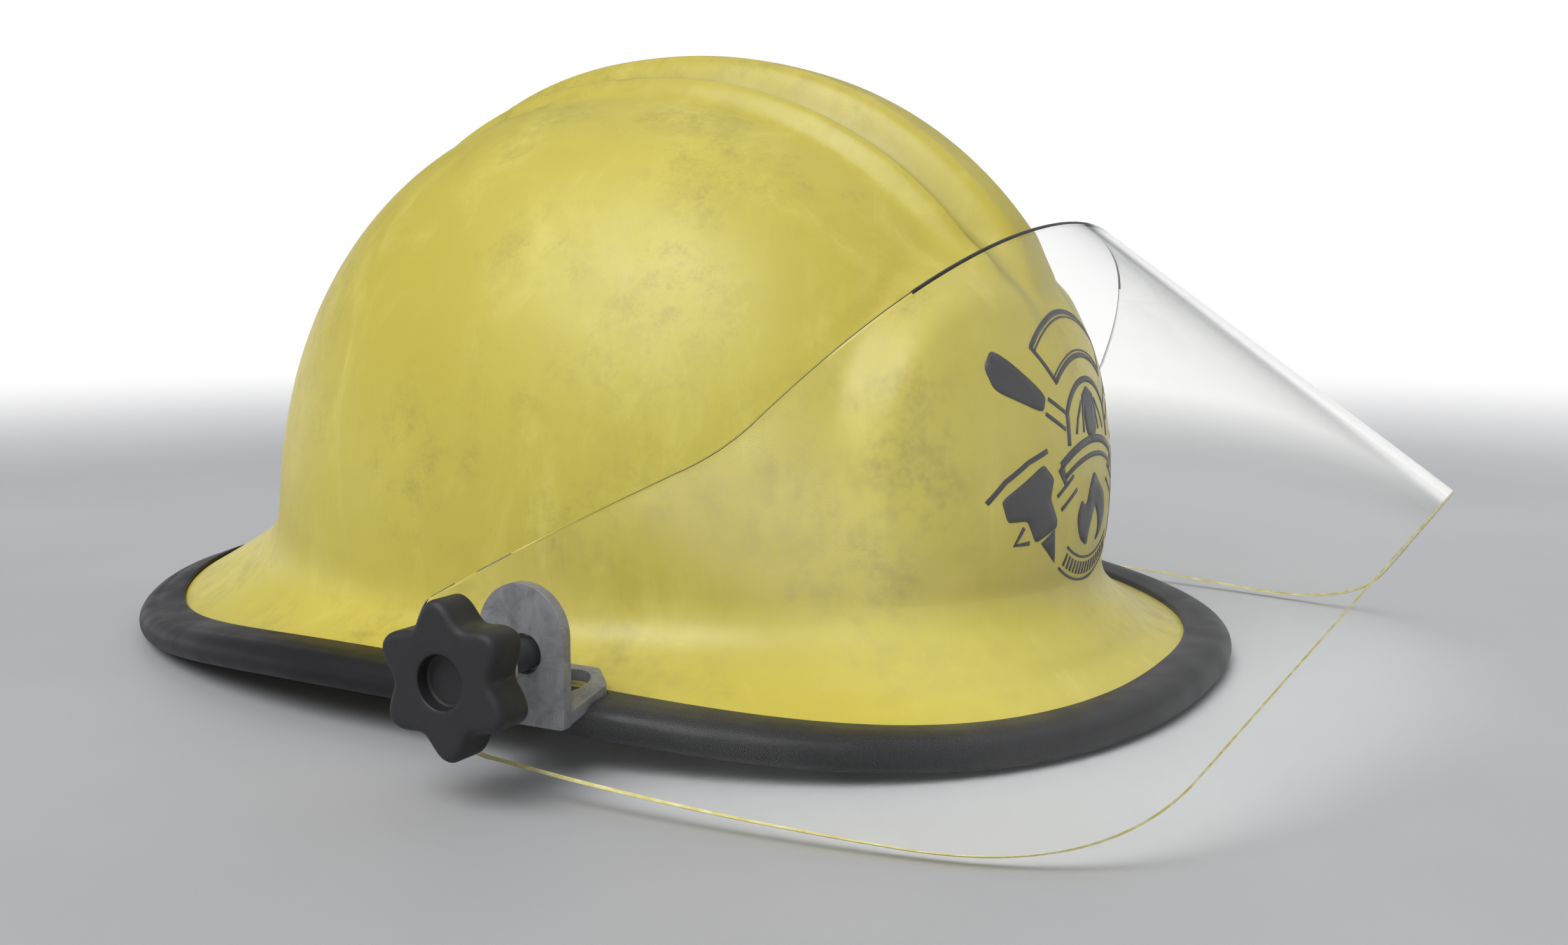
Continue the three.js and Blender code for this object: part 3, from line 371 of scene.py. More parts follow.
def across_axis(axis):
    return [i for i in range(3) if i != axis]


def round_ring(radius, count):
    turn = 2 * np.pi * np.arange(count) / count
    return np.reshape(radius, (-1, 1)) * np.stack([np.cos(turn), np.sin(turn)], -1)


def turned(stations, centre, axis, sides=64, ends="fill", sharp_deg=40):
    """Piece about an axis, from stations: a radius or an outline, and a place along the axis."""
    rings = np.zeros((len(stations), sides, 3))
    centre = [centre[i] for i in across_axis(axis)]
    for ring, (shape, along) in zip(rings, stations):
        outline = shape if np.ndim(shape) == 2 else round_ring(shape, sides)
        ring[:, across_axis(axis)] = outline + centre
        ring[:, axis] = along
    return skin(rings, ends, sharp_deg)


def slab(outline, axis, low, high):
    """Plate with an outline, between two places along an axis."""
    rings = np.zeros((2, len(outline), 3))
    for ring, along in zip(rings, (low, high)):
        ring[:, axis] = along
        ring[:, across_axis(axis)] = outline
    return skin(rings)


def applied(made):
    """Turns the modifiers of an object into mesh."""
    graph = bpy.context.evaluated_depsgraph_get()
    mesh = bpy.data.meshes.new_from_object(made.evaluated_get(graph))
    made.modifiers.clear()
    made.data = mesh
    return made


def modified(made, kind, **settings):
    modifier = made.modifiers.new(kind.title(), kind)
    for key, value in settings.items():
        setattr(modifier, key, value)
    return applied(made)


def combined(made, tools, operation="DIFFERENCE"):
    """Cuts tools out of an object or joins them to it, and removes them."""
    for tool in tools:
        modified(made, "BOOLEAN", operation=operation, solver="EXACT", object=tool)
        bpy.data.objects.remove(tool)
    return made


def bevelled(made, width, segments=2, angle_deg=35):
    """Rounds an object's edges, after joining its flat faces."""
    bm = bmesh.new()
    bm.from_mesh(made.data)
    bmesh.ops.remove_doubles(bm, verts=bm.verts, dist=1e-6)
    bmesh.ops.dissolve_limit(bm, angle_limit=radians(0.5), verts=bm.verts, edges=bm.edges)
    bm.to_mesh(made.data)
    bm.free()
    return modified(smoothed(made), "BEVEL", width=width * MM, segments=segments, limit_method="ANGLE",
                    angle_limit=radians(angle_deg), harden_normals=True)


def node_copy(node, width):
    """A CAD node's shape with rounded edges."""
    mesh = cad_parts[node].data.copy()
    mesh.materials.clear()
    return bevelled(linked(mesh), width)


def mirrored(made):
    """A copy of an object on the other side of the middle plane."""
    copy = linked(made.data.copy())
    move_points(copy, points_of(copy) * (-1, 1, 1))
    copy.data.flip_normals()
    return copy


def finished(made, material, node, body="helmet", name=None):
    """Gives a piece its name, material, slot and body, and hides its CAD node."""
    made.name = name or node + "_fine"
    if material.name not in made.data.materials:
        made.data.materials.clear()
        made.data.materials.append(material)
    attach(made, body)
    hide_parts(node)
    return made


def both_sides(made, material, node, right="helmet", left="helmet"):
    """Finishes a right-hand piece and its mirror copy."""
    for piece, side, body in ((made, "right", right), (mirrored(made), "left", left)):
        finished(piece, material, f"{node}_{side}", body, f"{node}_fine_{side}")


# ---- Materials ----
class Graph:
    """A node tree, with one short call for each kind of node."""

    def __init__(self, owner, coordinates):
        owner.use_nodes = True
        self.tree = owner.node_tree
        self.place = self.node("TexCoord", out=coordinates)

    def feed(self, socket, value):
        if isinstance(value, bpy.types.NodeSocket):
            self.tree.links.new(value, socket)
        else:
            socket.default_value = value

    def node(self, kind, *values, out=0, **settings):
        """An output of a new node. Values feed its first sockets, settings with a capital letter feed sockets
        by name, and the others are the node's own."""
        made = self.tree.nodes.new("ShaderNode" + kind)
        for key, value in settings.items():
            if key[0].isupper():
                self.feed(made.inputs[key.replace("_", " ")], value)
            else:
                setattr(made, key, value)
        for socket, value in zip(made.inputs, values):
            self.feed(socket, value)
        return made.outputs[out]

    def stretched(self, scale, rotation=(0, 0, 0)):
        return self.node("Mapping", self.place, Rotation=rotation, Scale=scale)

    def axes(self, place=None):
        return self.node("SeparateXYZ", place or self.place).node.outputs

    def noise(self, scale, detail, rough=0.5, place=None, distortion=0.0):
        return self.node("TexNoise", place or self.place, Scale=scale, Detail=detail, Roughness=rough,
                         Distortion=distortion)

    def cells(self, scale, place=None):
        return self.node("TexVoronoi", place or self.place, Scale=scale)

    def ramp(self, factor, low, high, low_value=0.0, high_value=1.0):
        return self.node("MapRange", factor, low, high, low_value, high_value,
                         interpolation_type="SMOOTHSTEP")

    def maths(self, operation, a, b=0.0):
        return self.node("Math", a, b, operation=operation)

    def mix(self, factor, a, b):
        made = self.node("Mix", factor, data_type="RGBA").node
        self.feed(made.inputs[6], a)
        self.feed(made.inputs[7], b)
        return made.outputs[2]

    def bump(self, height, distance, strength, **under):
        return self.node("Bump", Height=height, Distance=distance * MM, Strength=strength, **under)


class Shading(Graph):
    """A material on the principled surface, with its colour laid on in layers."""

    def __init__(self, name, roughness=0.5, metallic=0.0):
        self.material = bpy.data.materials.new(name)
        super().__init__(self.material, "Object")
        self.surface = self.tree.nodes["Principled BSDF"]
        self.set(Roughness=roughness, Metallic=metallic)

    def set(self, **inputs):
        for key, value in inputs.items():
            self.feed(self.surface.inputs[key.replace("_", " ")], value)

    def base(self, share, first, second):
        """Starts the colour as a mix of two."""
        self.tone = self.mix(share, colour(*first), colour(*second))

    def layer(self, share, *tone):
        self.tone = self.mix(share, self.tone, colour(*tone))

    def painted(self, **inputs):
        """The material, with its colour and its last settings."""
        self.set(Base_Color=self.tone, **inputs)
        return self.material

    def show(self, shader):
        """The material, with another shader than the surface alone."""
        self.feed(self.tree.nodes["Material Output"].inputs[0], shader)
        return self.material


def colour(*shown):
    """A colour as a screen shows it, from 0 to 255, as a linear colour."""
    values = np.array(shown) / 255
    linear = np.where(values <= 0.04045, values / 12.92, ((values + 0.055) / 1.055) ** 2.4)
    return (*linear.tolist(), 1.0)


def shell_material():
    """Yellow moulded composite: faint smudges and wisps, painted shade in the groove by the comb's rib, a
    soft gloss.
    """
    s = Shading("shell_yellow")
    s.base(s.ramp(s.noise(9, 3), 0.32, 0.68), (183, 169, 64), (195, 182, 75))
    wisps = s.noise(1, 8, 0.7, s.stretched((48, 48, 22)), 0.7)
    s.layer(s.ramp(wisps, 0.48, 0.8, 0, 0.45), 217, 205, 110)
    patches = s.ramp(s.noise(19, 5, 0.62), 0.42, 0.64)
    grain = s.ramp(s.noise(85, 10, 0.82), 0.43, 0.64, 0, 0.46)
    s.layer(s.maths("MULTIPLY", patches, grain), 136, 120, 54)
    s.layer(s.ramp(s.noise(520, 5, 0.75), 0.55, 0.8, 0, 0.3), 160, 146, 72)
    x, _, z = s.axes()
    # Painted shade along the groove beside the comb's rib, high on the dome.
    off_groove = s.maths("ABSOLUTE", s.maths("SUBTRACT", s.maths("ABSOLUTE", x), GROOVE.at * MM))
    groove_shade = s.ramp(off_groove, 0.0, GROOVE.half_width * MM, GROOVE.dirt, 0)
    high_up = s.ramp(z, GROOVE.from_z * MM, GROOVE.full_z * MM)
    s.layer(s.maths("MULTIPLY", groove_shade, high_up), 138, 132, 74)
    gloss = s.ramp(s.noise(60, 7, 0.65), 0.3, 0.72, 0.36, 0.46)
    waves = s.bump(s.noise(22, 2), 0.4, 0.3)
    return s.painted(Roughness=gloss, Normal=s.bump(s.noise(420, 4, 0.6), 0.035, 0.4, Normal=waves))


def trim_material():
    """Charcoal rubber-like bead with a satin skin and faint scuffs."""
    s = Shading("trim_charcoal")
    s.base(s.ramp(s.noise(30, 5), 0.3, 0.7), (17, 17, 20), (22, 22, 25))
    s.layer(s.ramp(s.noise(1, 6, 0.7, s.stretched((60, 60, 500))), 0.6, 0.82, 0, 0.18), 56, 56, 60)
    s.set(Specular_IOR_Level=0.26)
    gloss = s.ramp(s.noise(90, 5), 0.3, 0.7, 0.4, 0.5)
    return s.painted(Roughness=gloss, Normal=s.bump(s.noise(150, 4, 0.6), 0.04, 0.2))


def grained_plastic(name, tone, light, grain=1900.0, depth=0.09, roughness=(0.5, 0.64)):
    """Moulded plastic with a spark-eroded grain and slightly lighter rubbed patches."""
    s = Shading(name)
    s.base(s.ramp(s.noise(60, 6, 0.6), 0.5, 0.75), tone, light)
    gloss = s.ramp(s.noise(140, 5), 0.3, 0.7, *roughness)
    return s.painted(Roughness=gloss, Normal=s.bump(s.noise(grain, 4, 0.6), depth, 0.5))


def galvanised_material():
    """Zinc-coated sheet: mottled spangle, short dark hairline scratches and brighter rubbed spots."""
    s = Shading("bracket_zinc", metallic=0.6)
    blotch = s.noise(150, 8, 0.72, distortion=0.8)
    s.base(s.ramp(blotch, 0.3, 0.7), (110, 110, 115), (142, 142, 148))
    s.layer(s.ramp(s.cells(330), 0.1, 0.7, 0, 0.22), 158, 159, 166)
    scratches = ((0.5, (3400, 180, 240)), (-0.8, (220, 3000, 260)), (1.3, (260, 200, 3200)),
                 (2.1, (240, 2900, 210)))
    for turn, scale in scratches:
        lines = s.stretched(scale, (turn, turn / 2, turn))
        s.layer(s.ramp(s.noise(1, 4, 0.6, lines, 0.5), 0.6, 0.7, 0, 0.36), 66, 66, 72)
    gloss = s.ramp(blotch, 0.3, 0.7, 0.6, 0.44)
    return s.painted(Roughness=gloss, Normal=s.bump(s.noise(700, 5, 0.65), 0.05, 0.45))


def steel_material(name, tone, roughness):
    """Zinc-plated hardware with fine turning marks."""
    s = Shading(name, metallic=0.95)
    marks = s.noise(1, 4, 0.6, s.stretched((3000, 250, 250)))
    s.base(s.ramp(marks, 0.3, 0.7), tone, [v * 1.12 for v in tone])
    gloss = s.ramp(s.noise(350, 4), 0.3, 0.7, roughness, roughness + 0.14)
    return s.painted(Roughness=gloss, Normal=s.bump(marks, 0.03, 0.4))


def clear_material():
    """Clear polycarbonate sheet with a trace of haze and wear, which casts only a faint shadow."""
    s = Shading("shield_clear")
    wear = s.ramp(s.noise(24, 5, 0.6), 0.45, 0.8, 0.0, 0.008)
    s.set(Transmission_Weight=1.0, IOR=1.15, Base_Color=(0.993, 0.997, 0.985, 1.0), Roughness=wear)
    haze = s.node("BsdfDiffuse", (0.9, 0.9, 0.9, 1.0))
    hazy = s.node("MixShader", s.ramp(s.noise(9, 4), 0.3, 0.7, 0.006, 0.013), s.surface.outputs[0], haze)
    through = s.node("BsdfTransparent", (0.95, 0.955, 0.94, 1.0))
    return s.show(s.node("MixShader", s.node("LightPath", out="Is Shadow Ray"), hazy, through))


def cut_edge_material(name, tone, light):
    """A sawn edge of the shield, slightly rough and streaked, in painted colours: painted shade on the upper
    edge, the painted reflection of the yellow shell on the lower one.
    """
    s = Shading(name, roughness=0.4)
    s.base(s.ramp(s.noise(1, 5, 0.6, s.stretched((260, 260, 900))), 0.35, 0.7), tone, light)
    return s.painted()


def print_material():
    """Dark grey screen print with slightly thin, worn ink."""
    s = Shading("emblem_print")
    s.base(s.ramp(s.noise(300, 6, 0.7), 0.6, 0.8, 0, 0.35), (36, 36, 40), (92, 86, 58))
    return s.painted(Roughness=s.ramp(s.noise(90, 3), 0.3, 0.7, 0.4, 0.52))


def foam_material():
    """Moulded bead foam: small rounded cells."""
    s = Shading("liner_foam", roughness=0.88)
    cells = s.cells(330)
    # Darker between the cells, where the bump sinks: painted shade.
    s.base(s.ramp(cells, 0.0, 0.6), (52, 52, 55), (34, 34, 37))
    s.layer(s.ramp(s.noise(40, 4), 0.4, 0.7, 0, 0.4), 62, 62, 64)
    return s.painted(Normal=s.bump(s.ramp(cells, 0, 0.7, 1, 0), 0.5, 0.6))


def webbing_material():
    """Black webbing: ribs along the strap crossed by a fine herringbone, from the strap's own coordinates."""
    s = Shading("strap_webbing", roughness=0.82)
    across, along, _ = s.axes(s.node("UVMap", uv_map="weave"))
    rows = s.maths("ADD", along, s.maths("PINGPONG", across, 1.6))
    thread = s.maths("SINE", s.maths("MULTIPLY", rows, 6.2))
    rib = s.maths("SINE", s.maths("MULTIPLY", across, 3.93))
    height = s.maths("ADD", s.maths("MULTIPLY", thread, 0.6), s.maths("MULTIPLY", rib, 0.4))
    # The colour follows the weave's relief: painted shade on the low threads, lighter on the raised ones.
    s.base(s.ramp(height, -0.9, 0.9), (20, 20, 23), (46, 46, 50))
    s.layer(s.ramp(s.noise(80, 4), 0.5, 0.8, 0, 0.3), 60, 59, 58)
    return s.painted(Sheen_Weight=0.3, Normal=s.bump(height, 0.25, 0.8))


def fabric_material():
    """Dark brushed pad fabric: fine knit under short fibres."""
    s = Shading("pad_fabric", roughness=0.9)
    knit = s.cells(620, s.stretched((1, 1, 1.6)))
    fuzz = s.noise(1700, 4, 0.7)
    # Darker between the knit's cells, where the bump sinks: painted shade.
    s.base(s.ramp(knit, 0.05, 0.6), (58, 58, 61), (38, 38, 41))
    s.layer(s.ramp(fuzz, 0.5, 0.75, 0, 0.4), 84, 83, 84)
    weave = s.bump(s.ramp(knit, 0, 0.7, 1, 0), 0.25, 0.6, Normal=s.bump(fuzz, 0.1, 0.5))
    return s.painted(Sheen_Weight=0.45, Sheen_Roughness=0.5, Normal=weave)


CLEAR = clear_material()
# Painted shade along the upper edge of the clear shield.
UPPER_EDGE_SHADE = cut_edge_material("shield_upper_edge_painted_shade", (38, 38, 40), (58, 58, 60))
# Painted reflection of the yellow shell along the lower edge of the shield.
LOWER_EDGE_REFLECTION = cut_edge_material("shield_lower_edge_painted_reflection", (206, 194, 112), (232, 226, 178))
WEBBING = webbing_material()
FABRIC = fabric_material()
KNOB_PLASTIC = grained_plastic("knob_plastic", (26, 26, 28), (33, 33, 36))
NYLON = grained_plastic("nylon_black", (34, 34, 38), (46, 46, 50), 1300.0, 0.05, (0.42, 0.56))
COLLAR_PLASTIC = grained_plastic("collar_plastic", (30, 31, 36), (38, 39, 44), 1500.0, 0.03, (0.36, 0.46))
BOLT_STEEL = steel_material("bolt_steel", (168, 168, 172), 0.28)
WASHER_STEEL = steel_material("washer_steel", (156, 157, 161), 0.3)
RIVET_STEEL = steel_material("rivet_steel", (150, 151, 156), 0.34)


# ---- Shell, trim and emblem ----
def make_shell():
    angles = around_angles(440)
    dome_rows = np.concatenate([np.linspace(-1, -0.9, 16)[:-1], np.linspace(-0.9, 0, 104)])
    brim_rows = np.linspace(0, 1, 41)[1:]
    outer = [shell_outer(angles, row) for row in (*dome_rows, *brim_rows)]
    inner = [shell_inner(angles, row) for row in (*brim_rows[::-1], *dome_rows[::-1])]
    made = skin([*outer, *inner], "fill", 60)
    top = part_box("shell")[1].z
    for vert in made.data.vertices:
        vert.co.z = min(vert.co.z, top)
    return finished(made, shell_material(), "shell")


def foot_top(x):
    """Height of the bracket foot's upper face at a distance from the middle."""
    plate_in = -node_box("bracket_right")[0][0] - PLATE_WALL
    return FOOT.top_at_plate + (plate_in - x) * tan(radians(FOOT.slope_deg))


def foot_body(grow=0.0, extra_height=0.0):
    """The right bracket's sloping foot, or a larger and taller cutter."""
    low, high = node_box("bracket_right")
    near, far = low[0] - grow, high[0] + grow
    front, rear = low[1] - grow, high[1] + grow
    cut = FOOT.chamfer
    outline = [(near, front), (far - cut, front), (far, front + cut), (far, rear), (near, rear)]
    outline = rounded(outline, (0, 0.12, 0.12, 0.06, 0), 5)
    lifts = (-PLATE_WALL - grow, extra_height)
    return skin([[(x, y, foot_top(-x) + lift) for x, y in outline] for lift in lifts])


def make_trim():
    w, h, lip = TRIM.half_width, TRIM.half_height, TRIM.lip
    corners = [(-lip, 3.1), (-4, 4.2), (0, h), (3.2, 0.82 * h), (5.2, 0.4 * h), (w, -0.1 * h),
               (5.0, -0.6 * h), (2.9, -0.93 * h), (0, -h), (-4, -0.97 * h), (-lip, -4.1), (-lip, -2.4),
               (-lip, 1.4)]
    profile = rounded(corners, (0.25,) + (0.5,) * 9 + (0.25, 0.5, 0.4), 4)
    angles = around_angles(420)
    centre, out, slope = rim_point(angles), rim_out(angles), brim_slope(angles)
    rings = []
    for across, up in profile:
        ring = centre + out * across
        ring[:, 2] += up + slope * max(0.0, -across)
        rings.append(ring)
    notch = foot_body(0.4, 40)
    made = combined(skin(rings, "loop", 60), [mirrored(notch), notch])
    finished(smoothed(made, 50), trim_material(), "edge_trim")


def arc(radius, from_deg, to_deg, count, centre):
    """Points round a centre, where 0 degrees is up and 90 is to the right."""
    turns = np.radians(np.linspace(from_deg, to_deg, count))
    return np.stack([centre[0] + radius * np.sin(turns), centre[1] + radius * np.cos(turns)], -1)


def stroke(points, width):
    """Outline of a line drawn with a pen of one width."""
    points = np.asarray(points, float)
    along = unit(np.gradient(points, axis=0))
    across = np.stack([-along[:, 1], along[:, 0]], -1) * width * PEN / 2
    return [*(points + across), *(points - across)[::-1]]


def scaled(shape, wide, high):
    return [(wide * x, high * z) for x, z in shape]


def leaning(shape, lean_deg, foot):
    """A shape drawn upright, turned about its foot."""
    c, s = cos(radians(lean_deg)), sin(radians(lean_deg))
    return [(foot[0] + c * x + s * z, foot[1] - s * x + c * z) for x, z in shape]


def banner_lines():
    """Blank arched ribbon."""
    centre = (0, -5)
    shapes = [stroke(arc(radius, -38, 38, 30, centre), width)
              for radius, width in ((42, 1.1), (40.6, 0.4), (31.4, 0.4), (30, 1.1))]
    for end_deg in (-38, 38):
        low, high = (arc(radius, end_deg, end_deg, 1, centre)[0] for radius in (29.5, 42.5))
        shapes.append(stroke([low, (low + high) / 2, high], 1.1))
    return shapes


def axe_lines():
    """Plain axe, head down: dark grip, outlined handle, dark blade with a bright bevel."""
    grip = rounded([(-2.6, 64), (2.6, 64), (4.4, 81), (-0.5, 85.5), (-6.6, 84)], 0.25, 3)
    head = rounded([(-3, -4), (3.4, -4), (4.6, 4), (3, 5), (-3, 5), (-6.5, 8.5), (-11.5, 7), (-11.5, -8),
                    (-6, -9)], 0.16, 3)
    blade = stroke([(-13.2, 10), (-14.6, 3), (-14.6, -5), (-13.0, -11.5)], 1.0)
    spike = [(4.6, -2.4), (12.5, 0.4), (4.6, 3.2)]
    sides = [stroke([(x, z), (x, z + 5), (x, z + 10)], 0.9) for x in (-2.2, 2.2) for z in (8.5, 53)]
    heads = [head, blade, spike, stroke([(-2.2, -5.5), (0, -9.5), (2.2, -5.5)], 0.9)]
    return [grip, *sides, *(scaled(shape, 1.15, 1.15) for shape in heads)]


def helmet_lines():
    """Plain helmet with ribs, a blank plate and a brim, over a small flame."""
    radius, middle = 13.5, 2.5
    dome = np.concatenate([[(-12.5, 1)], arc(radius, -62, 62, 25, (0, middle)), [(12.5, 1)]])
    shapes = [stroke(dome, 1.2)]
    for reach in (-7.6, -4.2, 4.2, 7.6):
        height = middle + sqrt(radius ** 2 - reach ** 2) - 2.6
        rib = [(reach * 0.55, height), (reach * 0.95, height - 4), (reach * 1.15, 3.5)]
        shapes.append(stroke(rib, 0.8))
    shapes.append(rounded([(-4, 12), (0, 14.5), (4, 12), (3.3, 3.5), (0, 0.5), (-3.3, 3.5)], 0.2, 3))
    shapes.append(stroke(arc(30, -33, 33, 22, (0, -28.5)), 1.6))
    shapes.append(stroke(arc(30, -30, 30, 22, (0, -32.2)), 1.0))
    for side in (-1, 1):
        shapes.append([(side * 17.6, -4.4), (side * 15.6, -2.2), (side * 14.2, -7.6), (side * 15.4, -8)])
    flame = [(0, -6.5), (3.5, -11), (8.6, -15), (10.4, -21.5), (7.8, -27.5), (2.8, -30.5), (4.6, -25.5),
             (3.0, -21), (0.6, -17.5), (-1.2, -22), (-2.6, -25.5), (-3.0, -30.5), (-8.0, -27), (-10.4, -20.5),
             (-8.2, -14.5), (-5.2, -17.4), (-3.2, -11.5)]
    flame = [(x, z - 1) for x, z in scaled(rounded(flame, 0.4, 4), 1.2, 0.9)]
    return [*(scaled(shape, 1.3, 1.15) for shape in shapes), flame]


def lower_band_lines():
    """Two thin arcs with a row of short ticks between them."""
    centre = (0, -1)
    shapes = [stroke(arc(radius, 147, 213, 26, centre), 0.6) for radius in (30.6, 37)]
    for tick_deg in range(150, 213, 4):
        shapes.append(stroke([arc(radius, tick_deg, tick_deg, 1, centre)[0] for radius in (32, 35.6)], 1.0))
    return shapes


def emblem_outlines():
    """Generic badge without lettering: ribbon, crossed axes, helmet over a flame, lower band."""
    shapes = banner_lines() + helmet_lines() + lower_band_lines()
    for side in (-1, 1):
        shapes += [scaled(leaning(shape, 61, (-30, -18)), -side, 1) for shape in axe_lines()]
    return [[(x, EMBLEM_CENTRE + z) for x, z in shape] for shape in shapes]


def make_emblem(shell):
    """The badge as a thin film laid on the front of the shell."""
    mesh = shell.data
    surface = BVHTree.FromPolygons([v.co for v in mesh.vertices], [tuple(p.vertices) for p in mesh.polygons])
    bm = bmesh.new()
    for outline in emblem_outlines():
        verts = [bm.verts.new((x * MM, 0, z * MM)) for x, z in outline]
        edges = [bm.edges.new((verts[i - 1], verts[i])) for i in range(len(verts))]
        bmesh.ops.triangle_fill(bm, use_beauty=True, edges=edges)
    longest, lift, wall = 3.5 * MM, 0.12 * MM, 0.1 * MM
    for _ in range(4):
        long_edges = [edge for edge in bm.edges if edge.calc_length() > longest]
        bmesh.ops.subdivide_edges(bm, edges=long_edges, cuts=1)
        bmesh.ops.triangulate(bm, faces=bm.faces)
    for vert in bm.verts:
        hit, normal, _, _ = surface.ray_cast(Vector((vert.co.x, -1.0, vert.co.z)), Vector((0, 1, 0)))
        vert.co = hit + normal * lift
    made = object_from(bm, 80)
    if made.data.polygons[0].normal.y > 0:
        made.data.flip_normals()
    modified(made, "SOLIDIFY", thickness=wall, offset=-1.0)
    finished(made, print_material(), "front_emblem", name="front_emblem_print")


# ---- Brackets and the clamping stack ----
def make_bracket():
    low, high = node_box("bracket_right")
    half = (high[1] - low[1]) / 2
    middle = (high[1] + low[1]) / 2
    arch = high[2] - half
    corner = 0.8
    outline = [(low[1] + corner, low[2]), (high[1] - corner, low[2]), (high[1], low[2] + corner)]
    outline += [(middle + half * cos(t), arch + half * sin(t)) for t in np.linspace(0, np.pi, 41)]
    outline += [(low[1], low[2] + corner)]
    plate = slab(np.array(outline), 0, low[0], low[0] + PLATE_WALL)
    combined(plate, [foot_body()], "UNION")
    foot_hole, place = FOOT_HOLE.radius, (-FOOT_HOLE.x, FOOT_HOLE.y, 0)
    combined(plate, [turned([(PLATE_HOLE, low[0] - 3), (PLATE_HOLE, low[0] + 8)], (0, *PIVOT), 0),
                     turned([(foot_hole, 0), (foot_hole, 40)], place, 2)])
    both_sides(bevelled(plate, 0.4, 3, 38), galvanised_material(), "bracket")


def make_rivets():
    for node in ("bracket_rivet_outer", "bracket_rivet_inner"):
        low, high = node_box(node + "_right")
        bottom, top = low[2], high[2]
        head, crown = (high[0] - low[0]) / 2, 1.1
        shank = head * 0.6
        dome = [(head * (1 - a), top - crown * b) for a, b in quarter(9)]
        foot = [(shank, bottom + 0.9), (head, bottom + 0.8), (head, bottom + 0.2), (head - 0.3, bottom),
                (1.2, bottom), (0.9, bottom + 0.5), (0, bottom + 0.5)]
        made = turned([*dome, (shank, top - crown), *foot], (low + high) / 2, 2, 40)
        both_sides(made, RIVET_STEEL, node)


def ring_piece(node, edge, material):
    """A washer or collar with rounded edges and a bore."""
    low, high = node_box(node + "_right")
    radius = (high[2] - low[2]) / 2
    square = [(RING_BORE, low[0]), (radius, low[0]), (radius, high[0]), (RING_BORE, high[0])]
    share = min(edge / min(radius - RING_BORE, high[0] - low[0]), 0.45)
    both_sides(turned(rounded(square, share, 3), (0, *PIVOT), 0, 72, "loop"), material, node)


def make_bolts():
    """Hexagon bolt with a chamfered head and a round shank."""
    low, high = node_box("pivot_bolt_right")
    sides, shank, half_flats, head_height = 72, 2.5, 4.5, 4.1
    turn = 2 * np.pi * np.arange(sides) / sides
    flats = half_flats / np.cos((turn + np.pi / 6) % (np.pi / 3) - np.pi / 6)
    head_in, head_out = high[0], high[0] - head_height
    stations = [(0, head_in), (3.4, head_in), (flats * 0.93, head_in - 0.25), (flats, head_in - 0.7),
                (flats, head_out), (shank, head_out), (shank, low[0] + 0.5), (2.0, low[0]), (0, low[0])]
    both_sides(turned(stations, (0, *PIVOT), 0, sides), BOLT_STEEL, "pivot_bolt")


def lobed_ring(mean, lobe, lobes, turned_deg, inset):
    """Outline with rounded lobes, moved inwards by an inset."""
    turn = 2 * np.pi * np.arange(KNOB_POINTS) / KNOB_POINTS
    points = round_ring(mean + lobe * np.cos(lobes * (turn - radians(turned_deg))), KNOB_POINTS)
    along = np.roll(points, -1, 0) - np.roll(points, 1, 0)
    return points - unit(np.stack([along[:, 1], -along[:, 0]], -1)) * inset


def quarter(steps=6):
    """Points of a quarter circle, as their distances from its two tangents."""
    return [(1 - sin(t), 1 - cos(t)) for t in np.linspace(0, np.pi / 2, steps)]


def make_knobs():
    low, high = node_box("shield_knob_right")
    front, hub_end = -low[0], -high[0]
    back = front - KNOB.thick
    hub, recess, floor = KNOB.hub, KNOB_RECESS.radius, front - KNOB_RECESS.depth
    edge, lip, fillet = 1.9, 0.5, 0.7

    def outline(inset):
        return lobed_ring(KNOB.mean, KNOB.lobe, KNOB.lobes, KNOB.turned_deg, inset)

    stations = [(0, hub_end + 8.6), (RING_BORE, hub_end + 8.6), (RING_BORE, hub_end + 0.3),
                (RING_BORE + 0.3, hub_end), (hub - 0.4, hub_end), (hub, hub_end + 0.4), (hub, back - 0.5),
                (hub + 0.5, back), (hub + 2.5, back)]
    stations += [(outline(edge * a), back + edge * b) for a, b in quarter()]
    stations += [(outline(edge * b), front - edge * a) for a, b in quarter(8)]
    stations += [(outline(3.2), front), (recess + 1.5, front)]
    stations += [(recess + lip * a, front - lip * b) for a, b in quarter(4)]
    stations += [(recess - fillet * b, floor + fillet * a) for a, b in quarter(4)]
    stations += [(0, floor)]
    made = turned([(shape, -along) for shape, along in stations], (0, *PIVOT), 0, KNOB_POINTS, sharp_deg=50)
    both_sides(made, KNOB_PLASTIC, "shield_knob", "knob_right", "knob_left")


# ---- Face shield ----
def shield_top_edge(m):
    tab = SHIELD_TAB
    slanted = tab.upper_at + tab.upper_slope * m
    around = -np.sqrt(np.maximum(0, tab.radius ** 2 - m * m))
    ahead = smooth_min(slanted, SHIELD_TOP.at + SHIELD_TOP.slope * m, 4)
    return np.where(m < tab.radius / 2, np.maximum(slanted, around), ahead)


def shield_bottom_edge(m):
    tab = SHIELD_TAB
    around = np.sqrt(np.maximum(0, tab.radius ** 2 - m * m))
    tangent_at = -tab.radius * tab.lower_slope / hypot(1, tab.lower_slope)
    slanted = smooth_min(tab.lower_at + tab.lower_slope * m, SHIELD.bottom, 34)
    return np.where(m < tangent_at, around, slanted)


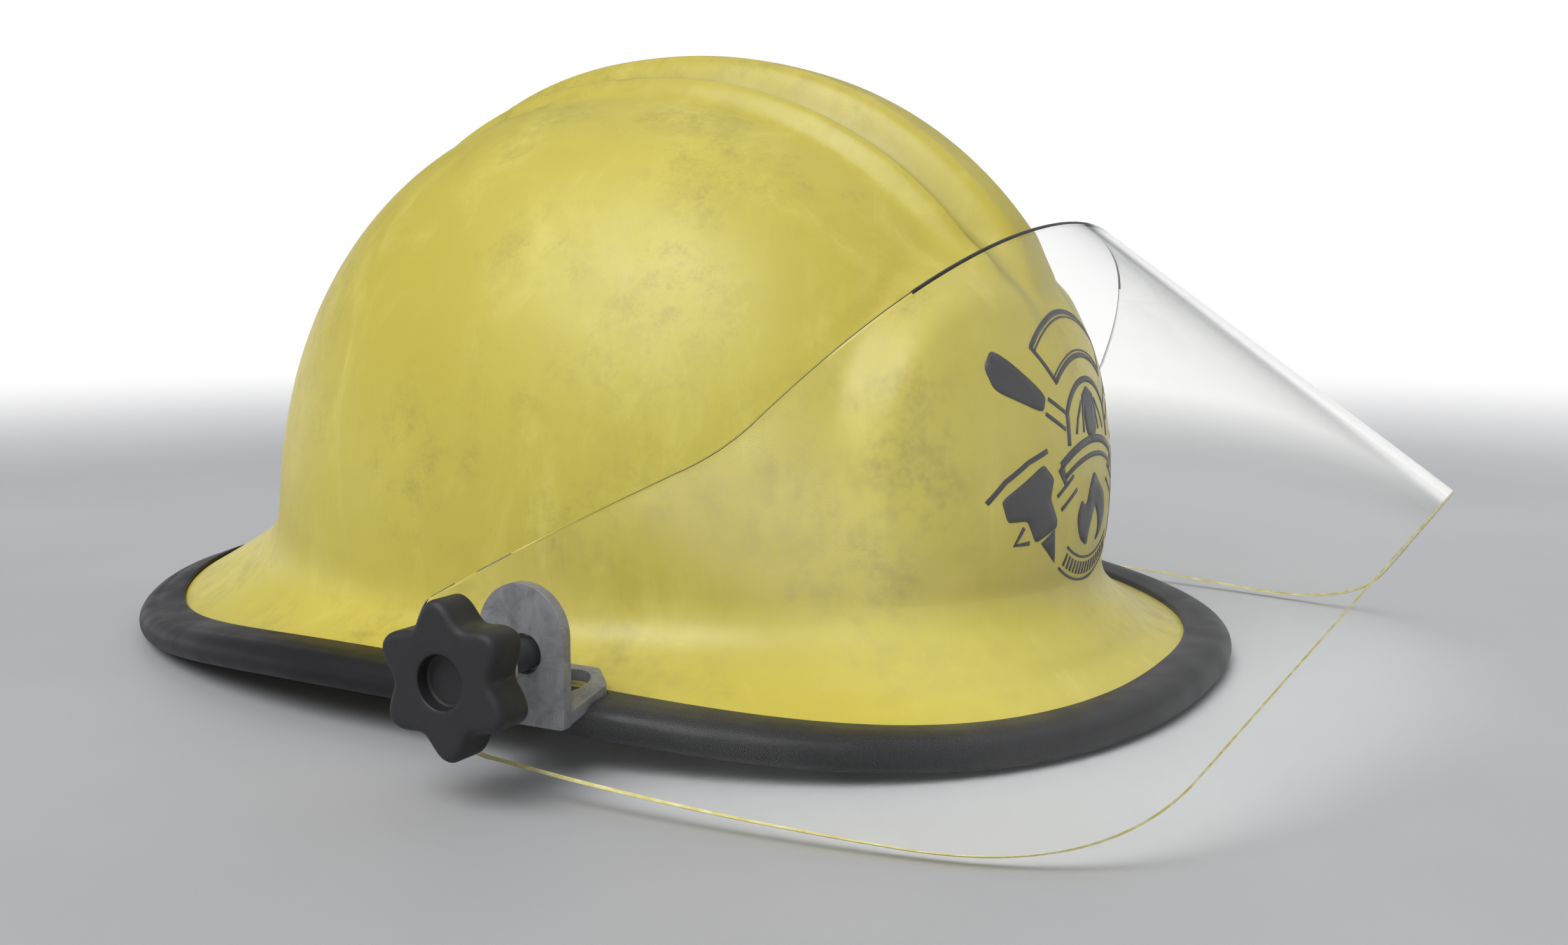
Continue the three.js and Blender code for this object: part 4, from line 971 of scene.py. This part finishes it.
def shield_point(turn, s, lift):
    """Point of the sheet: turn is 0 straight ahead, s runs down it and lift is out of it."""
    tilt = radians(SHIELD.tilt_deg)
    m = SHIELD.centre + (SHIELD.depth + lift) * np.cos(turn)
    return stack(
        (SHIELD.half_width + lift) * np.sin(turn),
        PIVOT[0] - s * cos(tilt) - m * sin(tilt),
        PIVOT[1] - s * sin(tilt) + m * cos(tilt))


def mark_edge(mesh, ring_size, places, sections, material_index):
    """Gives a material to the faces between some places of the sections that are true."""
    for face in mesh.polygons:
        inside = {index % ring_size for index in face.vertices} <= places
        if inside and len(face.vertices) == 4 and sections[min(face.vertices) // ring_size]:
            face.material_index = material_index


def make_shield():
    end_turn = acos((-SHIELD_TAB.radius + 0.03 - SHIELD.centre) / SHIELD.depth)
    across = np.linspace(-1, 1, 281)
    turn = end_turn * np.sign(across) * (1 - (1 - np.abs(across)) ** 1.6)
    m = SHIELD.centre + SHIELD.depth * np.cos(turn)
    top, bottom = shield_top_edge(m), shield_bottom_edge(m)
    half, bevel = SHIELD.wall / 2, 0.45
    shares = np.linspace(0, 1, 27)
    sections = []
    for i, at in enumerate(turn):
        inset = min(bevel, (bottom[i] - top[i]) / 4)
        down = top[i] + inset + (bottom[i] - top[i] - 2 * inset) * shares
        outside = shield_point(at, down, half)
        inside = shield_point(at, down[::-1], -half)
        below = shield_point(at, np.full(2, bottom[i]), np.array([half - bevel, bevel - half]))
        above = shield_point(at, np.full(2, top[i]), np.array([bevel - half, half - bevel]))
        sections.append(np.concatenate([outside, below, inside, above]))
    made = skin(sections, "fill", 30)
    for material in (CLEAR, UPPER_EDGE_SHADE, LOWER_EDGE_REFLECTION):
        made.data.materials.append(material)
    size, rows = len(sections[0]), len(shares)
    # Painted shade on the front part of the upper edge.
    mark_edge(made.data, size, {0, size - 3, size - 2, size - 1}, np.cos(turn) > SHIELD_TOP.dark_from, 1)
    # Painted reflection of the yellow shell on the lower edge.
    mark_edge(made.data, size, {rows - 1, rows, rows + 1, rows + 2}, m > m.min(), 2)
    low, high = node_box("face_shield")
    reach = 20  # of a cutter through each tab
    starts = low[0] - 5, high[0] + 5 - reach
    combined(made, [turned([(3.0, x), (3.0, x + reach)], (0, *PIVOT), 0, 48) for x in starts])
    finished(smoothed(made, 30), CLEAR, "face_shield", "shield")


# ---- Impact liner, straps and clips ----
def make_liner():
    angles = around_angles(240, 0.0)
    base, outer = climb_at(LINER_BASE), SHELL_WALL + LINER_GAP
    climbs = [climb for climb in np.radians(np.linspace(90, 0, 46)) if climb > base]
    rings = [dome_point(angles, climb, outer) for climb in (*climbs, base)]
    for climb in (base, *climbs[::-1]):
        fade = sin(2 * climb) ** 2 if climb > base else 0.0
        channel = 2.6 * fade * hump(np.degrees(angles) / 30 % 1 - 0.5, 0.16)
        rings.append(dome_point(angles, climb, outer + LINER_WALL - channel))
    for ring in rings:
        ring[:, 2] = np.maximum(ring[:, 2], LINER_BASE)
    finished(skin(rings, "fill", 50), foam_material(), "impact_liner")


def ribbon(path, side, width, wall):
    """Flat webbing along a path, with coordinates for its weave."""
    thick = unit(np.cross(side, unit(np.gradient(path, axis=0))))
    u, v = width / 2, wall / 2
    section = rounded([(-u, -v), (u, -v), (u, v), (-u, v)], 0.03, 2)
    rings = [[point + side * u + up * v for u, v in section] for point, up in zip(path, thick)]
    made = skin(rings, "fill", 45)
    distance = np.concatenate([[0], np.cumsum(np.linalg.norm(np.diff(path, axis=0), axis=1))])
    co, places = points_of(made), placed(path)
    nearest = np.argmin(np.linalg.norm(co[:, None] - places[None], axis=2), axis=1)
    offset = (co - places[nearest]) @ side / MM
    loops = np.array([loop.vertex_index for loop in made.data.loops])
    flat = np.stack([offset[loops], distance[nearest[loops]]], -1)
    made.data.uv_layers.new(name="weave").data.foreach_set("uv", flat.ravel())
    return made


def make_straps():
    for number, angle_deg in enumerate(STRAP_DEGS):
        angle = radians(angle_deg)
        climb = climb_at(STRAP.bottom, STRAP.offset)
        foot = dome_point(angle, climb, STRAP.offset)
        other = dome_point(angle + np.pi, climb, STRAP.offset)
        top = STRAP.top - number * STRAP.layer
        turn = np.linspace(0, np.pi, 91)[:, None]
        path = foot + (other - foot) * (1 - np.cos(turn)) / 2
        path[:, 2] = STRAP.bottom + (top - STRAP.bottom) * np.sin(turn[:, 0])
        across = unit((other - foot) * (1, 1, 0))
        side = np.array([-across[1], across[0], 0])
        made = ribbon(path, side, STRAP.width, STRAP.wall)
        finished(made, WEBBING, f"crown_strap_{number + 1}")


def soft_box(size, edge):
    """Rounded block about the origin."""
    bm = bmesh.new()
    bmesh.ops.create_cube(bm, size=2.0)
    for vert in bm.verts:
        vert.co = Vector(np.array(vert.co) * np.array(size) / 2 * MM)
    bmesh.ops.bevel(bm, geom=bm.edges, offset=edge * MM, segments=3, affect="EDGES", profile=0.5)
    return object_from(bm, 35)


def set_in_place(made, centre, hub_y):
    """Moves a piece to a place, facing away from a point of the middle plane."""
    turn = atan2(centre[1] - hub_y, centre[0])
    c, s = cos(turn), sin(turn)
    move_points(made, points_of(made) @ np.array([[c, s, 0], [-s, c, 0], [0, 0, 1]]) + placed(centre))
    return made


def make_keeper(node, hub_y, size, slot_size):
    """Moulded keeper: a rounded plate with a slot for the webbing and two small heads."""
    made = combined(soft_box(size, 0.8), [soft_box((size[0] * 3, *slot_size), 0.3)])
    for across in (-1, 1):
        head = soft_box((size[0] + 0.7, 2.6, 2.6), 0.6)
        shift = np.array([0, across * (size[1] / 2 - 2.4), size[2] / 2 - 2.6]) * MM
        move_points(head, points_of(head) + shift)
        combined(made, [head], "UNION")
    finished(set_in_place(smoothed(made, 35), node_centre(node), hub_y), NYLON, node)


def make_keepers():
    size, slot_size = (2.4, STRAP.width + 4.6, 13.6), (STRAP.width - 2, 1.8)
    for end in ("1a", "1b", "2a", "2b", "3a", "3b"):
        make_keeper("strap_clip_" + end, DOME.centre_y, size, slot_size)
    for place in ("front_right", "front_left", "rear_right", "rear_left"):
        make_keeper("headband_hanger_" + place, HEAD.centre_y, (1.8, 10.6, 21.6), (5.0, 2.2))


# ---- Headband and size adjuster ----
def head_point(angle, offset, z):
    power = 2 / HEAD.power
    return stack(
        (HEAD.half_width + offset) * signed_power(np.sin(angle), power),
        HEAD.centre_y - (HEAD.half_length + offset) * signed_power(np.cos(angle), power),
        z)


def head_strip(from_deg, to_deg, inner, outer, bottom, top, bends, edge):
    """Strip standing on edge round part of the head."""
    corners = [(inner, bottom), (outer, bottom), (outer, top), (inner, top)]
    section = rounded(corners, (edge * 0.2, edge, edge * 0.2, edge), 3)
    rings = []
    for angle in np.radians(np.linspace(from_deg, to_deg, bends + 1)):
        rings.append([head_point(angle, offset, z) for offset, z in section])
    return skin(rings, "fill", 50)


def make_headband():
    low, high = node_box("headband")
    wall, end_deg = 1.8, 126
    made = head_strip(-end_deg, end_deg, 0, wall, low[2], high[2], 150, 0.3)
    slots = []
    for angle_deg in (*range(-105, -60, 9), *range(69, 114, 9)):
        centre = head_point(radians(angle_deg), wall / 2, (low[2] + high[2]) / 2)
        slots.append(set_in_place(soft_box((12, 7.5, 6.0), 1.6), centre, HEAD.centre_y))
    finished(smoothed(combined(made, slots), 40), NYLON, "headband")


def rounded_outline(half_width, half_height, radius, centre_z):
    made = []
    for i, (across, up) in enumerate(((-1, -1), (1, -1), (1, 1), (-1, 1))):
        cx, cz = across * (half_width - radius), up * (half_height - radius)
        for t in np.radians(np.linspace(180 + 90 * i, 270 + 90 * i, 9)):
            made.append((cx + radius * cos(t), centre_z + cz + radius * sin(t)))
    return np.array(made)


def make_nape():
    """Housing of the size adjuster: a flat base and a ridged cover."""
    low, high = node_box("nape_base")
    outline = rounded_outline((high[0] - low[0]) / 2, (high[2] - low[2]) / 2, 5, (high[2] + low[2]) / 2)
    finished(bevelled(slab(outline, 1, low[1], high[1]), 0.4, 3), NYLON, "nape_base")
    finished(node_copy("nape_cover", 0.45), NYLON, "nape_cover")


def make_size_knob():
    low, high = node_box("size_knob")
    face, back = high[1], node_box("nape_cover")[1][1] + 0.3
    shaft, edge = 3.4, 1.2

    def outline(inset):
        return lobed_ring(12.6, 0.9, 12, 0, inset)

    stations = [(0, low[1]), (shaft, low[1]), (shaft, back)]
    stations += [(outline(0.6), back), (outline(0), back + 0.6), (outline(0), face - edge)]
    stations += [(outline(edge * b), face - edge * a) for a, b in quarter(5)[1:]]
    stations += [(9.4, face), (8.8, face - 0.7), (shaft, face - 0.9), (2.8, face - 0.3), (0, face - 0.1)]
    made = turned(stations, (0, 0, (low[2] + high[2]) / 2), 1, KNOB_POINTS, sharp_deg=35)
    finished(made, KNOB_PLASTIC, "size_knob", "adjuster")


def make_adjuster():
    pieces = {"size_pinion": "adjuster"}
    for side in ("right", "left"):
        pieces[f"size_rack_{side}"] = pieces[f"band_tail_{side}"] = f"tail_{side}"
    for node, body in pieces.items():
        finished(node_copy(node, 0.12), NYLON, node, body)


# ---- Pads: foam in fabric, swelled by a short cloth simulation ----
def swelled(made, voxel, pressure, most):
    """Swells a closed form by inner pressure, and moves no point more than a distance."""
    modified(made, "REMESH", mode="VOXEL", voxel_size=voxel * MM)
    steps = 20
    start = points_of(made)
    cloth = made.modifiers.new("Cloth", "CLOTH")
    cloth.settings.quality = 6
    cloth.settings.mass = 0.2
    cloth.settings.tension_stiffness = 12
    cloth.settings.compression_stiffness = 12
    cloth.settings.bending_stiffness = 0.4
    cloth.settings.use_pressure = True
    cloth.settings.uniform_pressure_force = pressure
    cloth.settings.effector_weights.gravity = 0
    cloth.point_cache.frame_end = steps
    for step in range(1, steps + 1):
        bpy.context.scene.frame_set(step)
    applied(made)
    bpy.context.scene.frame_set(1)
    moved = points_of(made) - start
    size = np.linalg.norm(moved, axis=1, keepdims=True)
    move_points(made, start + moved * np.minimum(1, most * MM / np.maximum(size, 1e-9)))
    return smoothed(modified(made, "SUBSURF", levels=2))


def make_pad(made, node, depth_at):
    """Pulls a pad in along its sewn lines and finishes it."""
    points = points_of(made)
    normals = np.array([vert.normal for vert in made.data.vertices])
    depths = depth_at(points / MM - (0, SHIFT_Y, 0))
    move_points(made, points - normals * depths[:, None] * MM)
    finished(made, FABRIC, node)


def head_pad(node, middle_deg, half_deg, inner, outer, channels_deg):
    """Pad on the headband, with sewn channels across it."""
    low, high = node_box(node)
    made = head_strip(middle_deg - half_deg, middle_deg + half_deg, inner, outer,
                      low[2] + 1.4, high[2] - 1.4, 60, 0.35)
    swelled(made, 1.7, 2.5, 1.0)

    def depth(points):
        angle = np.degrees(np.arctan2(points[:, 0], -(points[:, 1] - HEAD.centre_y)))
        total = np.zeros(len(points))
        for channel in channels_deg:
            gap = np.abs((angle - channel + 180) % 360 - 180) * 1.5
            total += 1.1 * hump(gap, 1.3)
        return total

    make_pad(made, node, depth)


def make_crown_pad():
    low, high = node_box("crown_pad")
    centre, half = (low + high) / 2, (high - low) / 2
    profile = [(0, -2.6), (0.78, -2.4), (0.93, -0.8), (0.93, 0.8), (0.78, 2.4), (0, 2.6)]
    stations = [(round_ring(1, 64) * (half[:2] * share), centre[2] + z) for share, z in profile]
    made = swelled(turned(stations, centre, 2), 2.2, 3.0, 1.3)
    seam = 0.62  # of the pad's radius, round the crossed seams

    def depth(points):
        flat = (points[:, :2] - centre[:2]) / half[:2]
        away = np.linalg.norm(flat, axis=1)
        ring = np.abs(away - seam) * half[0]
        cross = np.minimum(np.abs(flat[:, 0] + flat[:, 1]), np.abs(flat[:, 0] - flat[:, 1])) * half[0]
        return 0.9 * hump(ring, 1.5) + 0.8 * (away < seam) * hump(cross, 1.6)

    make_pad(made, "crown_pad", depth)


# ---- Floor, light and camera ----
CAMERA = Sizes(azimuth_deg=-61.35, elevation_deg=7.56, distance=0.5718, lens=36.79)
TARGET = Vector((0.0622, 0.01225, 0.0455))
HORIZON = (1.0, 1.0, 1.0)
CALM = (0.15, 0.155, 0.17)
SKY_FADE = (0.155, 0.24)  # from horizon to calm, as the sine of the height
FLOOR_FADE = (0.5, 1.35)  # metres from the helmet
GLOWS = (((-0.3, 0.0, 0.95), 0.1, 1.0, 0.3), ((-0.6, 0.08, 0.79), 0.88, 0.99, 6.3),
         ((0.55, -0.1, 0.83), 0.6, 1.0, 0.45))  # direction, cosines at the rim and the core, strength


def make_floor():
    """Pale floor that fades into the white surroundings."""
    bm = bmesh.new()
    bmesh.ops.create_circle(bm, cap_ends=True, segments=128, radius=30.0)
    made = object_from(bm)
    made.name = "floor"
    s = Shading("floor_pale")
    tone = s.mix(s.ramp(s.noise(3.5, 6), 0.3, 0.7), (0.38, 0.385, 0.4, 1), (0.42, 0.425, 0.44, 1))
    s.set(Base_Color=tone)
    far = s.ramp(s.node("VectorMath", s.place, operation="LENGTH", out="Value"), *FLOOR_FADE)
    white = s.node("Emission", (*HORIZON, 1.0))
    made.data.materials.append(s.show(s.node("MixShader", far, s.surface.outputs[0], white)))
    made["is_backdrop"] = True


def make_light():
    """Soft studio: white low down, calmer above, with a broad bright patch at the front left."""
    world = bpy.data.worlds.new("studio")
    sky = Graph(world, "Generated")
    tone = sky.mix(sky.ramp(sky.axes()[2], *SKY_FADE), (*HORIZON, 1.0), (*CALM, 1.0))
    for toward, low, high, strength in GLOWS:
        toward = Vector(toward).normalized()
        share = sky.node("VectorMath", sky.place, toward, operation="DOT_PRODUCT", out="Value")
        tone = sky.node("VectorMath", tone, sky.ramp(share, low, high, 0, strength))
    sky.feed(sky.tree.nodes["Background"].inputs["Color"], tone)
    bpy.context.scene.world = world
    bpy.context.scene.view_settings.view_transform = "Standard"


def make_camera():
    data = bpy.data.cameras.new("camera")
    data.sensor_width = 36.0
    data.lens = CAMERA.lens
    data.clip_start = 0.01
    camera = bpy.data.objects.new("camera", data)
    bpy.context.scene.collection.objects.link(camera)
    a, e = radians(CAMERA.azimuth_deg), radians(CAMERA.elevation_deg)
    back = Vector((sin(a) * cos(e), -cos(a) * cos(e), sin(e)))
    camera.location = TARGET + back * CAMERA.distance
    camera.rotation_euler = (-back).to_track_quat("-Z", "Y").to_euler()
    bpy.context.scene.camera = camera


make_camera()
make_light()
make_floor()
make_emblem(make_shell())
make_trim()
make_bracket()
make_rivets()
ring_piece("spring_washer", 0.25, WASHER_STEEL)
ring_piece("pivot_collar", 0.4, COLLAR_PLASTIC)
ring_piece("shield_washer", 0.35, WASHER_STEEL)
make_bolts()
make_knobs()
make_shield()
make_liner()
make_straps()
make_keepers()
make_headband()
make_nape()
make_size_knob()
make_adjuster()
head_pad("brow_pad", 0, 60, -4.6, -1.2, (-45, -30, -15, 0, 15, 30, 45))
head_pad("nape_pad", 180, 24.5, -5.8, -2.4, (166, 180, 194))
make_crown_pad()

sizes = {"cad": cad_box, "visual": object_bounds()}
{name: [list(corner) for corner in box] for name, box in sizes.items()}
